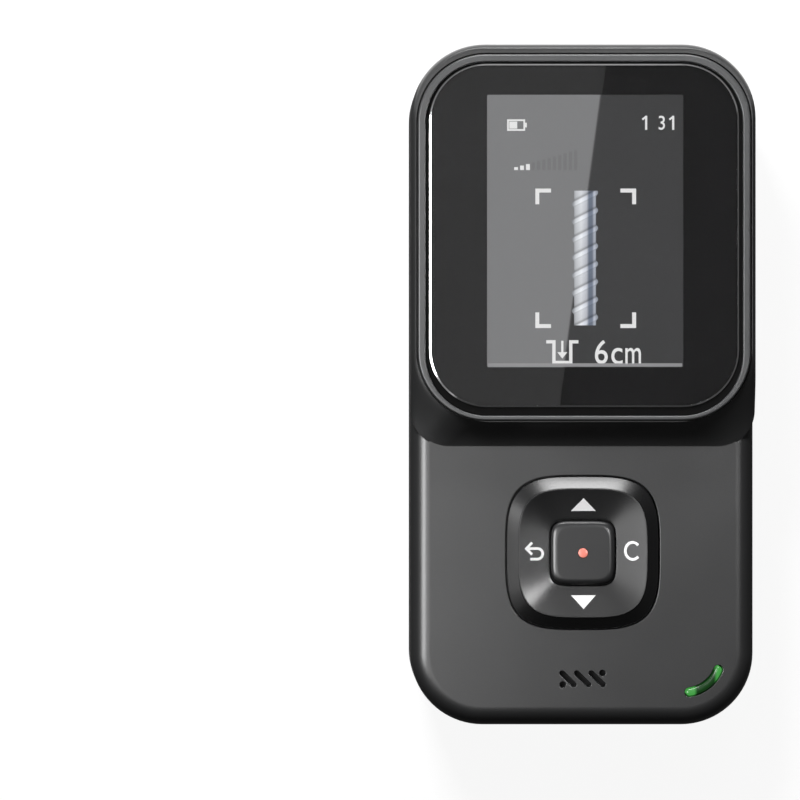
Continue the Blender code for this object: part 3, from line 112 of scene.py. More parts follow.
def shares(count: int, first: int = 0) -> list[float]:
    """Even shares of one, from a first step up to the whole."""
    return [step / count for step in range(first, count + 1)]


def arc(radius: float, centre: Point, start: float, turn: float, steps: int) -> Outline:
    """Points along an arc.

    Args:
        radius: Its radius.
        centre: Its centre.
        start: Where it starts, in degrees.
        turn: How far it turns anticlockwise, in degrees.
        steps: Steps along it.

    Returns:
        The points.
    """
    angles = [radians(start + turn * share) for share in shares(steps)]
    return [(centre[0] + radius * cos(a), centre[1] + radius * sin(a)) for a in angles]


def quarter(steps: int) -> Outline:
    """Cosine and sine at even steps over a quarter turn."""
    return arc(1.0, (0.0, 0.0), 0, 90, steps)


def limited(share: float) -> float:
    """A share, kept between 0 and 1."""
    return min(1.0, max(0.0, share))


def rounded(
    half_x: float, y: Point, r_low: float, r_high: float | None = None, middle: float = 0.0, steps: int = 20
) -> Outline:
    """Outline of a rounded rectangle, anticlockwise from the foot of its right side.

    Args:
        half_x: Half of its width.
        y: Its foot and its head.
        r_low: Corner radius at the foot.
        r_high: Corner radius at the head, or None for the same.
        middle: The x of its middle.
        steps: Steps round each corner.

    Returns:
        The points of the outline.
    """
    r_high = r_low if r_high is None else r_high
    low, high = y[0] + r_low, y[1] - r_high
    corners = (
        (half_x - r_low, low, r_low),
        (half_x - r_high, high, r_high),
        (r_high - half_x, high, r_high),
        (r_low - half_x, low, r_low),
    )
    points = []
    for number, (across, up, radius) in enumerate(corners):
        points += arc(radius, (middle + across, up), 90 * (number - 1), 90, steps)
    return points


def squircle(size: float, centre_y: float, power: float, steps: int = 128) -> Outline:
    """Outline between a circle and a square, centred across the body.

    Args:
        size: Its width and its length.
        centre_y: The y of its centre.
        power: 2 for a circle, and more for a squarer form.
        steps: How many points it has.

    Returns:
        The points of the outline.
    """
    points = []
    for x, y in circle(1.0, 0.0, 0.0, steps):
        x = copysign(abs(x) ** (2 / power), x)
        y = copysign(abs(y) ** (2 / power), y)
        points.append((size / 2 * x, centre_y + size / 2 * y))
    return points


def circle(radius: float, x: float, y: float, steps: int = 48) -> Outline:
    """Outline of a circle round a centre."""
    return arc(radius, (x, y), 0, 360, steps)[:-1]


def capsule(centre: Point, way: Point, reach: float, width: float, steps: int = 10) -> Outline:
    """Outline of a straight slot with round ends.

    Args:
        centre: Its centre.
        way: The way that it runs, as a unit vector.
        reach: Distance from its centre to the centre of each round end.
        width: Its width.
        steps: Steps round each end.

    Returns:
        The points of the outline, anticlockwise.
    """
    start = degrees(atan2(way[1], way[0])) - 90
    points = []
    for end, turn in ((reach, 0), (-reach, 180)):
        middle = (centre[0] + end * way[0], centre[1] + end * way[1])
        points += arc(width / 2, middle, start + turn, 180, steps)
    return points


def edge_round(inset: float, top: float, size: float, steps: int) -> list[Point]:
    """The profile of a rounded upper edge, from its foot to its top.

    Args:
        inset: How far in the edge starts.
        top: Height of its top.
        size: Its radius.
        steps: Steps round it.

    Returns:
        Pairs of inset and height.
    """
    return [(inset + size * (1 - x), top - size * (1 - y)) for x, y in quarter(steps)]


def stroke(points: Outline, width: float, ends: Ends = Ends.SQUARE) -> Outline:
    """Outline of a line of one width through some points.

    Args:
        points: The points.
        width: The width.
        ends: How it ends.

    Returns:
        The outline.
    """
    half = width / 2
    sharpest = 0.35
    left = []
    right = []
    ways = [atan2(y1 - y0, x1 - x0) for (x0, y0), (x1, y1) in zip(points, points[1:])]
    for (x, y), into, out in zip(points, ways[:1] + ways, ways + ways[-1:]):
        bend = atan2(sin(out - into), cos(out - into))
        across = into + bend / 2 + pi / 2
        reach = half / max(sharpest, cos(bend / 2))
        left.append((x + reach * cos(across), y + reach * sin(across)))
        right.append((x - reach * cos(across), y - reach * sin(across)))
    back = left[::-1]
    if ends is Ends.ROUND:
        head = arc(half, points[-1], degrees(ways[-1]) - 90, 180, steps=6)[1:-1]
        foot = arc(half, points[0], degrees(ways[0]) + 90, 180, steps=6)[1:-1]
        return foot + right + head + back
    return back + right


# Meshes


def add_object(name: str, bm: bmesh.types.BMesh) -> Thing:
    """Put a mesh into the scene.

    Args:
        name: The name of its object.
        bm: The mesh, which is freed.

    Returns:
        The new object.
    """
    bmesh.ops.recalc_face_normals(bm, faces=bm.faces)
    mesh = bpy.data.meshes.new(name)
    bm.to_mesh(mesh)
    bm.free()
    thing = bpy.data.objects.new(name, mesh)
    bpy.context.scene.collection.objects.link(thing)
    return thing


def add_loft(bm: bmesh.types.BMesh, rings: list[list[Place]], closed: bool = False) -> None:
    """Add one body through a run of rings of equal length to a mesh.

    Args:
        bm: The mesh.
        rings: The rings, in order.
        closed: Whether the last ring is joined to the first; if not, both ends are capped.
    """
    loops = [[bm.verts.new(point) for point in ring] for ring in rings]
    for lower, upper in zip(loops, loops[1:] + (loops[:1] if closed else [])):
        for index in range(len(lower)):
            after = (index + 1) % len(lower)
            bm.faces.new((lower[index], lower[after], upper[after], upper[index]))
    if not closed:
        bm.faces.new(loops[0][::-1])
        bm.faces.new(loops[-1])


def lofted(name: str, levels: list[tuple[Outline, float]], closed: bool = False) -> Thing:
    """One body through a run of outlines of equal length.

    Args:
        name: The name of its object.
        levels: The outlines in order, each with its height.
        closed: Whether the last outline is joined to the first.

    Returns:
        The new object.
    """
    bm = bmesh.new()
    add_loft(bm, [[(x, y, height) for x, y in outline] for outline, height in levels], closed)
    return add_object(name, bm)


def stacked(name: str, outline_at: Widened, profile: list[Point], closed: bool = False) -> Thing:
    """One body whose outline changes with its height.

    Args:
        name: The name of its object.
        outline_at: Gives the outline for a size.
        profile: Pairs of size and height.
        closed: Whether the profile closes on itself, as a ring's does.

    Returns:
        The new object.
    """
    return lofted(name, [(outline_at(size), height) for size, height in profile], closed)


def prism(name: str, outline: Outline, low: float, high: float) -> Thing:
    """An outline raised from one height to another."""
    return lofted(name, [(outline, low), (outline, high)])


def turned(name: str, profile: list[Point], place: Point) -> Thing:
    """A body turned about an upright axis, from pairs of radius and height."""
    return stacked(name, lambda radius: circle(radius, *place), profile)


def work(body: Thing, tools: list[Thing], operation: str) -> None:
    """Let forms act on a body one after another, and take the forms away.

    Args:
        body: The body that is worked on.
        tools: The forms.
        operation: UNION, DIFFERENCE or INTERSECT.
    """
    for tool in tools:
        modifier = body.modifiers.new(tool.name, "BOOLEAN")
        modifier.operation = operation
        modifier.solver = "EXACT"
        modifier.object = tool
    graph = bpy.context.evaluated_depsgraph_get()
    rough = body.data
    body.data = bpy.data.meshes.new_from_object(body.evaluated_get(graph))
    body.modifiers.clear()
    body.data.name = rough.name
    bpy.data.meshes.remove(rough)
    for tool in tools:
        bpy.data.objects.remove(tool)


def smoothed(thing: Thing, angle: float = 30.0) -> Thing:
    """Shade a body smooth, with flat faces kept flat.

    Args:
        thing: The body.
        angle: Edges sharper than this, in degrees, stay sharp.

    Returns:
        The same body.
    """
    thing.data.shade_smooth()
    thing.data.set_sharp_from_angle(angle=radians(angle))
    weighted = thing.modifiers.new("flat_faces_stay_flat", "WEIGHTED_NORMAL")
    weighted.keep_sharp = True
    weighted.weight = 100
    return thing


def thickened(thing: Thing, thickness: float) -> Thing:
    """Give a sheet a body below its face.

    Args:
        thing: The sheet.
        thickness: How thick it becomes.

    Returns:
        The same sheet.
    """
    body = thing.modifiers.new("body", "SOLIDIFY")
    body.thickness = thickness
    body.offset = -1.0
    return thing


def flared(name: str, outline_at: Widened, low: float, top: float, lip: float) -> Thing:
    """Cutter of an opening whose upper edge is rounded over.

    Args:
        name: The name of its object.
        outline_at: Gives the opening's outline, widened by a margin.
        low: Its lower end.
        top: Height of the surface that it opens in.
        lip: Radius of the rounded edge.

    Returns:
        The cutter.
    """
    above = 1.2 * MM
    return stacked(name, outline_at, [(0.0, low), *edge_round(0.0, top, lip, steps=5), (lip, top + above)])


# Finishes


def feed(tree: Tree, value: Socket | float | tuple[float, ...] | None, socket: Socket) -> None:
    """Give an input a link or a value, or leave it as it is.

    Args:
        tree: The nodes that it is in.
        value: A socket, a value, or None.
        socket: The input.
    """
    if isinstance(value, bpy.types.NodeSocket):
        tree.links.new(value, socket)
    elif value is not None:
        socket.default_value = value


def feed_all(tree: Tree, node: bpy.types.Node, values: dict[str, Socket | float | tuple]) -> None:
    """Give some of a node's inputs their links or values, by name."""
    for label, value in values.items():
        feed(tree, value, node.inputs[label])


def maths(
    tree: Tree, operation: str, first: Socket | float, second: Socket | float | None = None
) -> Socket:
    """Add a Math node.

    Args:
        tree: Where it goes.
        operation: What it does.
        first: A socket or a number.
        second: A socket or a number, or None where it takes one value.

    Returns:
        Its output.
    """
    node = tree.nodes.new("ShaderNodeMath")
    node.operation = operation
    feed(tree, first, node.inputs[0])
    feed(tree, second, node.inputs[1])
    return node.outputs["Value"]


def vector_maths(
    tree: Tree, operation: str, first: Socket | Colour, second: Socket | Colour | float
) -> Socket:
    """Add a Vector Math node.

    Args:
        tree: Where it goes.
        operation: What it does.
        first: A socket or a vector.
        second: A socket or a vector, or a number to scale by.

    Returns:
        Its output.
    """
    node = tree.nodes.new("ShaderNodeVectorMath")
    node.operation = operation
    feed(tree, first, node.inputs[0])
    feed(tree, second, node.inputs["Scale" if operation == "SCALE" else 1])
    return node.outputs["Vector"]


def noise(tree: Tree, place: Socket, scale: Socket | float, detail: float) -> Socket:
    """Add a noise texture.

    Args:
        tree: Where it goes.
        place: The socket that gives its place.
        scale: Its scale, as a socket or a number.
        detail: Its detail.

    Returns:
        Its value.
    """
    node = tree.nodes.new("ShaderNodeTexNoise")
    feed_all(tree, node, {"Vector": place, "Scale": scale, "Detail": detail})
    return node.outputs["Fac"]


def spread(tree: Tree, value: Socket, amount: Socket | float) -> Socket:
    """Turn a noise value into a factor that goes an amount from one."""
    centred = maths(tree, "SUBTRACT", value, 0.5)
    return maths(tree, "ADD", maths(tree, "MULTIPLY", centred, amount), 1.0)


def ramp(tree: Tree, value: Socket, stops: tuple[tuple[float, Colour], ...]) -> Socket:
    """Add a colour ramp.

    Args:
        tree: Where it goes.
        value: What runs along it.
        stops: Its positions, each with its colour.

    Returns:
        The colour.
    """
    node = tree.nodes.new("ShaderNodeValToRGB")
    elements = node.color_ramp.elements
    while len(elements) < len(stops):
        elements.new(0.5)
    for element, (position, colour) in zip(elements, stops):
        element.position = position
        element.color = (*colour, 1.0)
    feed(tree, value, node.inputs["Fac"])
    return node.outputs["Color"]


def surface_place(tree: Tree) -> tuple[Socket, bpy.types.NodeOutputs]:
    """Give the place on the surface.

    Args:
        tree: Where its nodes go.

    Returns:
        The socket of the place, and the outputs X, Y and Z of it.
    """
    place = tree.nodes.new("ShaderNodeTexCoord").outputs["Object"]
    axes = tree.nodes.new("ShaderNodeSeparateXYZ")
    tree.links.new(place, axes.inputs["Vector"])
    return place, axes.outputs


def light_up(tree: Tree, shader: bpy.types.Node, level: Socket, tint: Colour) -> None:
    """Let a surface give light of one tint.

    Args:
        tree: The material's nodes.
        shader: Its shader.
        level: How bright it is from place to place.
        tint: Its tint.
    """
    colour = tree.nodes.new("ShaderNodeCombineColor")
    for channel, share in zip(("Red", "Green", "Blue"), tint):
        feed(tree, maths(tree, "MULTIPLY", level, share), colour.inputs[channel])
    feed_all(tree, shader, {"Emission Color": colour.outputs["Color"], "Emission Strength": 1.0})


class Grain(Enum):
    """The kinds of surface structure that a finish can have."""

    MOULDED = "moulded_grain"
    DRAWN = "drawn_lines"

    def start_group(self) -> Tree:
        """Start the structure's node group with its named inputs and outputs.

        Returns:
            The group, without the nodes between.
        """
        kind = "NodeSocketFloat"
        group = bpy.data.node_groups.new(self.value, "ShaderNodeTree")
        for label, usual in (("Scale", 4000.0), ("Contrast", 0.1)):
            group.interface.new_socket(label, in_out="INPUT", socket_type=kind).default_value = usual
        for label in ("Height", "Tone", "Polish"):
            group.interface.new_socket(label, in_out="OUTPUT", socket_type=kind)
        return group

    def group(self) -> Tree:
        """Give the structure's node group: its height, its tone and its polish.

        Returns:
            The group, made at its first use.
        """
        if self.value in bpy.data.node_groups:
            return bpy.data.node_groups[self.value]
        group = self.start_group()
        given = group.nodes.new("NodeGroupInput").outputs
        results = group.nodes.new("NodeGroupOutput")
        place = group.nodes.new("ShaderNodeTexCoord").outputs["Object"]
        scale, contrast = given["Scale"], given["Contrast"]
        if self is Grain.DRAWN:
            stretch = (1.0, 0.08, 1.0)
            coarser, uneven = 9.0, 0.5
            drawn_out = vector_maths(group, "MULTIPLY", place, stretch)
            fine = noise(group, drawn_out, scale, detail=3.0)
            coarse = noise(group, place, maths(group, "DIVIDE", scale, coarser), detail=4.0)
            tone = spread(group, coarse, contrast)
        else:
            coarser, uneven, drifting = 60.0, 0.12, 0.6
            fine = noise(group, place, scale, detail=2.0)
            coarse = noise(group, place, maths(group, "DIVIDE", scale, coarser), detail=3.0)
            drift = spread(group, coarse, maths(group, "MULTIPLY", contrast, drifting))
            tone = maths(group, "MULTIPLY", spread(group, fine, contrast), drift)
        polish = spread(group, coarse, uneven)
        feed_all(group, results, {"Height": fine, "Tone": tone, "Polish": polish})
        return group


class Look:
    """A material that is made at its first use."""

    name: str

    def material(self) -> bpy.types.Material:
        """Give the material.

        Returns:
            The material, made at its first use.
        """
        label = f"{self.name}_finish"
        if label in bpy.data.materials:
            return bpy.data.materials[label]
        material = bpy.data.materials.new(label)
        material.use_nodes = True
        self.wire(material.node_tree, material.node_tree.nodes["Principled BSDF"])
        return material

    def wire(self, tree: Tree, shader: bpy.types.Node) -> None:
        """Set up the material's nodes round its shader."""
        raise NotImplementedError(self.name)


@dataclass(frozen=True)
class Finish(Look):
    """A surface finish: a colour with a fine structure in it.

    Attributes:
        name: The record's material slot.
        colour: Base colour.
        roughness: Roughness.
        metallic: Metallic value.
        grain: The kind of structure.
        pitch: Size of the structure, in millimetres.
        relief: Depth of the structure, in millimetres.
        contrast: How far the tone goes from the base colour.
        specular: Specular level.
        coat: Weight of a clear coat.
        sheen: Weight of the sheen of fabric.
        glow: Strength of its own light.
        glow_colour: Colour of its own light.
        coat_roughness: Roughness of the clear coat.
        sheen_roughness: Roughness of the sheen.
    """

    name: str
    colour: Colour
    roughness: float
    metallic: float = 0.0
    grain: Grain = Grain.MOULDED
    pitch: float = 0.25
    relief: float = 0.004
    contrast: float = 0.12
    specular: float = 0.5
    coat: float = 0.0
    sheen: float = 0.0
    glow: float = 0.0
    glow_colour: Colour = (1.0, 1.0, 1.0)
    coat_roughness: float = 0.08
    sheen_roughness: float = 0.6

    def wire(self, tree: Tree, shader: bpy.types.Node) -> None:
        """Vary the colour, the polish and the height by the finish's structure.

        Args:
            tree: The material's nodes.
            shader: Its shader.
        """
        grain = tree.nodes.new("ShaderNodeGroup")
        grain.node_tree = self.grain.group()
        feed_all(tree, grain, {"Scale": 1 / (self.pitch * MM), "Contrast": self.contrast})
        given = grain.outputs
        bump = tree.nodes.new("ShaderNodeBump")
        feed_all(tree, bump, {"Distance": self.relief * MM, "Height": given["Height"]})
        values = {
            "Metallic": self.metallic,
            "Specular IOR Level": self.specular,
            "Coat Weight": self.coat,
            "Coat Roughness": self.coat_roughness,
            "Sheen Weight": self.sheen,
            "Sheen Roughness": self.sheen_roughness,
            "Base Color": vector_maths(tree, "SCALE", self.colour, given["Tone"]),
            "Roughness": maths(tree, "MULTIPLY", given["Polish"], self.roughness),
            "Normal": bump.outputs["Normal"],
        }
        feed_all(tree, shader, values)
        if self.glow:
            light = {"Emission Color": (*self.glow_colour, 1.0), "Emission Strength": self.glow}
            feed_all(tree, shader, light)


@dataclass(frozen=True)
class ClearGlass(Look):
    """The polished cover glass.

    Attributes:
        name: The record's material slot.
        ior: Its index of refraction.
        smear: How rough its faint smears are.
        smear_scale: How fine they are.
    """

    name: str = "lens_glass"
    ior: float = 1.5
    smear: float = 0.02
    smear_scale: float = 90.0

    def wire(self, tree: Tree, shader: bpy.types.Node) -> None:
        """Make it clear, with faint smears.

        Args:
            tree: The material's nodes.
            shader: Its shader.
        """
        place = tree.nodes.new("ShaderNodeTexCoord").outputs["Object"]
        smears = noise(tree, place, self.smear_scale, detail=3.0)
        rough = maths(tree, "MULTIPLY", smears, self.smear)
        clear = {"Base Color": WHITE, "Transmission Weight": 1.0, "IOR": self.ior, "Roughness": rough}
        feed_all(tree, shader, clear)


@dataclass(frozen=True)
class ScreenLightWithPaintedGlare(Look):
    """The backlit face of the display, with a painted glare that makes it brighter to one side of a
    slanting line.

    Attributes:
        name: The record's material slot.
        dim: Light of the darker side, the backlight alone.
        bright: Light of the brighter side, the backlight with a painted glare on it.
        line: The x and y of the painted glare's edge at the middle of the display, in millimetres.
        lean: How far the line goes to the right for each unit up.
        soft: Width of the change from one side to the other, in millimetres.
        tint: Colour of the light.
        cell_scale: How fine the grain of its cells is.
        cell_contrast: How strong that grain is.
    """

    name: str = "display"
    dim: float = 0.040
    bright: float = 0.185
    line: Point = (-0.4, 29.0)
    lean: float = 0.135
    soft: float = 0.35
    tint: Colour = (1.0, 1.01, 1.03)
    cell_scale: float = 5200.0
    cell_contrast: float = 0.10

    def wire(self, tree: Tree, shader: bpy.types.Node) -> None:
        """Light the face, with a painted glare to one side and a faint grain of its cells.

        Args:
            tree: The material's nodes.
            shader: Its shader.
        """
        place, axes = surface_place(tree)
        # painted reflection: the face gives more light left of a slanting line, a glare painted into its
        # emission
        rise = maths(tree, "SUBTRACT", axes["Y"], self.line[1] * MM)
        line = maths(tree, "ADD", maths(tree, "MULTIPLY", rise, self.lean), self.line[0] * MM)
        half = self.soft / 2 * MM
        share = tree.nodes.new("ShaderNodeMapRange")
        ends = {"From Min": -half, "From Max": half, "To Min": self.dim, "To Max": self.bright}
        feed_all(tree, share, {"Value": maths(tree, "SUBTRACT", line, axes["X"]), **ends})
        cells = spread(tree, noise(tree, place, self.cell_scale, detail=1.0), self.cell_contrast)
        light_up(tree, shader, maths(tree, "MULTIPLY", share.outputs["Result"], cells), self.tint)
        dark = {"Base Color": SCREEN_BLACK, "Roughness": 0.6, "Specular IOR Level": 0.0}
        feed_all(tree, shader, dark)


@dataclass(frozen=True)
class GuideLight(Look):
    """The green light guide, brighter at its two ends than in its middle.

    Attributes:
        name: The record's material slot.
        middle_x: The x of the middle of its dark part, in millimetres.
        reach: Distance from there to each brighter end, in millimetres.
        fade: Width over which the light fades, as a share of the reach.
        dim: Light of its middle.
        bright: Light that its ends have more.
        tint: Colour of the light.
        cloud_scale: How fine the clouds in its plastic are.
        cloud_contrast: How far they change its polish.
        roughness: Roughness between them.
    """

    name: str = "green_light"
    middle_x: float = 23.35
    reach: float = 1.6
    fade: float = 0.35
    dim: float = 0.032
    bright: float = 0.30
    tint: Colour = (0.18, 1.0, 0.19)
    cloud_scale: float = 900.0
    cloud_contrast: float = 0.4
    roughness: float = 0.2

    def wire(self, tree: Tree, shader: bpy.types.Node) -> None:
        """Make the two ends of the cloudy plastic give more light than its middle.

        Args:
            tree: The material's nodes.
            shader: Its shader.
        """
        place, axes = surface_place(tree)
        away = maths(tree, "SUBTRACT", axes["X"], self.middle_x * MM)
        share = maths(tree, "DIVIDE", maths(tree, "ABSOLUTE", away), self.reach * MM)
        past = maths(tree, "DIVIDE", maths(tree, "SUBTRACT", share, 1.0), self.fade)
        past = maths(tree, "MINIMUM", maths(tree, "MAXIMUM", past, 0.0), 1.0)
        level = maths(tree, "ADD", maths(tree, "MULTIPLY", past, self.bright), self.dim)
        light_up(tree, shader, level, self.tint)
        clouds = spread(tree, noise(tree, place, self.cloud_scale, detail=2.0), self.cloud_contrast)
        rough = maths(tree, "MULTIPLY", clouds, self.roughness)
        plastic = {"Base Color": (0.001, 0.020, 0.002, 1.0), "Coat Weight": 0.15, "Roughness": rough}
        feed_all(tree, shader, plastic)


@dataclass(frozen=True)
class RodPicture(Look):
    """The drawn reinforcing rod on the display: a lit core, a shaded side and slanting ribs.

    Attributes:
        left: Left side of the rod, in millimetres.
        width: Its width, in millimetres.
        pitch: Distance from rib to rib, in millimetres.
        slant: How far a rib rises from left to right for each unit.
        name: Its name.
        core: Colours across the rod.
        rib: Shades along the rod from rib to rib.
    """

    left: float
    width: float
    pitch: float
    slant: float
    name: str = "display_rod"
    core: tuple[tuple[float, Colour], ...] = (
        (0.0, (0.22, 0.23, 0.25)),
        (0.12, (0.56, 0.58, 0.61)),
        (0.34, (0.78, 0.80, 0.84)),
        (0.56, (0.56, 0.58, 0.64)),
        (0.66, (0.15, 0.18, 0.24)),
        (0.80, (0.16, 0.19, 0.25)),
        (0.88, (0.46, 0.49, 0.56)),
        (1.0, (0.24, 0.26, 0.30)),
    )
    rib: tuple[Point, ...] = (
        (0.0, 0.70),
        (0.08, 1.20),
        (0.26, 1.12),
        (0.36, 0.44),
        (0.50, 0.86),
        (1.0, 0.94),
    )

    def wire(self, tree: Tree, shader: bpy.types.Node) -> None:
        """Shade the rod across and along.

        Args:
            tree: The material's nodes.
            shader: Its shader.
        """
        _, axes = surface_place(tree)
        across = maths(tree, "SUBTRACT", axes["X"], self.left * MM)
        core = ramp(tree, maths(tree, "DIVIDE", across, self.width * MM), self.core)
        climb = maths(tree, "SUBTRACT", axes["Y"], maths(tree, "MULTIPLY", across, self.slant))
        turn = maths(tree, "FRACT", maths(tree, "DIVIDE", climb, self.pitch * MM))
        rib = ramp(tree, turn, tuple((position, (level,) * 3) for position, level in self.rib))
        light = {
            "Base Color": SCREEN_BLACK,
            "Specular IOR Level": 0.0,
            "Emission Color": vector_maths(tree, "MULTIPLY", core, rib),
            "Emission Strength": 1.0,
        }
        feed_all(tree, shader, light)


def metal(
    name: str, colour: Colour, roughness: float, pitch: float, relief: float, contrast: float
) -> Finish:
    """A drawn or rolled metal."""
    return Finish(
        name, colour, roughness, 1.0, Grain.DRAWN, pitch=pitch, relief=relief, contrast=contrast
    )


def lit_mark(name: str, glow: float, blue: float = 1.0) -> Finish:
    """A lit mark on the display."""
    return Finish(
        name, (0.01, 0.01, 0.01), 0.5, pitch=0.3, relief=0.0, specular=0.0, glow=glow,
        glow_colour=(1.0, 1.0, blue),
    )


SHELL = Finish("shell_plastic", (0.027, 0.0272, 0.0279), 0.29, pitch=0.22, relief=0.010, contrast=0.30)
BACK = Finish("back_plastic", (0.030, 0.031, 0.033), 0.52, pitch=0.30, relief=0.010, contrast=0.2)
BEZEL = Finish("bezel_plastic", (0.043, 0.0438, 0.0455), 0.34, pitch=0.20, relief=0.003)
KEYS = Finish("key_plastic", (0.022, 0.0223, 0.0232), 0.27, pitch=0.20, relief=0.002, contrast=0.08)
PAD = Finish("pad_plastic", (0.007, 0.007, 0.0074), 0.27, pitch=0.16, relief=0.002, contrast=0.2)
INNER = Finish("inner_plastic", (0.020, 0.020, 0.021), 0.55, pitch=0.4, relief=0.006)
FOAM = Finish("foam", (0.014, 0.014, 0.014), 0.95, pitch=0.35, relief=0.05, contrast=0.5, sheen=0.2)
RUBBER = Finish("rubber", (0.030, 0.030, 0.031), 0.8, pitch=0.5, relief=0.01)
RED = Finish(
    "red_light", (0.70, 0.16, 0.12), 0.2, pitch=0.6, relief=0.001, coat=0.3, glow=0.40,
    glow_colour=(1.0, 0.36, 0.28),
)
LAMP = Finish("lamp", (0.8, 0.8, 0.7), 0.25, pitch=0.5, relief=0.002, coat=0.5)
BOARD = Finish("circuit_board", (0.010, 0.120, 0.060), 0.38, pitch=0.5, relief=0.01, contrast=0.5)
FILM = Finish("flex_film", (0.45, 0.22, 0.04), 0.3, pitch=0.6, relief=0.003, contrast=0.2)
STEEL = metal("steel", (0.56, 0.57, 0.58), 0.28, 0.5, 0.003, 0.25)
SPRING = metal("spring_steel", (0.70, 0.69, 0.66), 0.25, 0.3, 0.003, 0.2)
COPPER = metal("copper", (0.72, 0.33, 0.16), 0.3, 0.4, 0.02, 0.3)
SLEEVE = Finish("cell_sleeve", (0.12, 0.13, 0.15), 0.3, pitch=0.8, relief=0.002, coat=0.4)
FELT = Finish("felt", (0.035, 0.035, 0.037), 0.97, pitch=0.3, relief=0.06, contrast=0.6, sheen=0.5)
PRINT_BLACK = Finish("lens_print", (0.004, 0.004, 0.0043), 0.6, pitch=0.5, relief=0.0005, specular=0.0)
# black seat round the glass: a real black part whose near-black colour and weak reflection also paint the
# shade that falls in that gap
SEAT_BLACK_AND_SHADE = Finish("seat_black", (0.003, 0.003, 0.003), 0.8, pitch=0.4, relief=0.004, specular=0.05)
POLISHED_EDGE = Finish("polished_edge", (0.93, 0.93, 0.94), 0.10, 1.0, pitch=0.8, relief=0.0005)
# white key print; its glow is painted light that makes the print brighter than the lamps alone light it
KEY_PRINT_PAINTED_GLOW = Finish(
    "key_print", (0.80, 0.80, 0.80), 0.45, pitch=0.12, relief=0.003, contrast=0.06, glow=0.14
)
MARK_WHITE = lit_mark("display_mark", 0.80)
MARK_FAINT = lit_mark("display_faint_mark", 0.158, 1.03)
MARK_LINE = lit_mark("display_foot_line", 0.27, 1.02)


def dress(thing: Thing, look: Look, body: Body, slot: str, *nodes: str) -> Thing:
    """Give a piece its look and its body, and hide the construction nodes that it replaces.

    Args:
        thing: The piece.
        look: Its look.
        body: The body that it rides on.
        slot: The record's material slot.
        nodes: The construction nodes that it replaces.

    Returns:
        The same piece.
    """
    thing.data.materials.clear()
    thing.data.materials.append(look.material())
    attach(thing, body.value)
    if nodes:
        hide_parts(*nodes)
    LOG.info("%s: %s on %s", thing.name, slot, body.value)
    return thing


def second_look(thing: Thing, look: Look, chosen: Callable[[Vector], bool]) -> None:
    """Give the faces of a piece whose normals are chosen a look of their own.

    Args:
        thing: The piece.
        look: The other look.
        chosen: Tells whether a normal is chosen.
    """
    thing.data.materials.append(look.material())
    for face in thing.data.polygons:
        if chosen(face.normal):
            face.material_index = 1


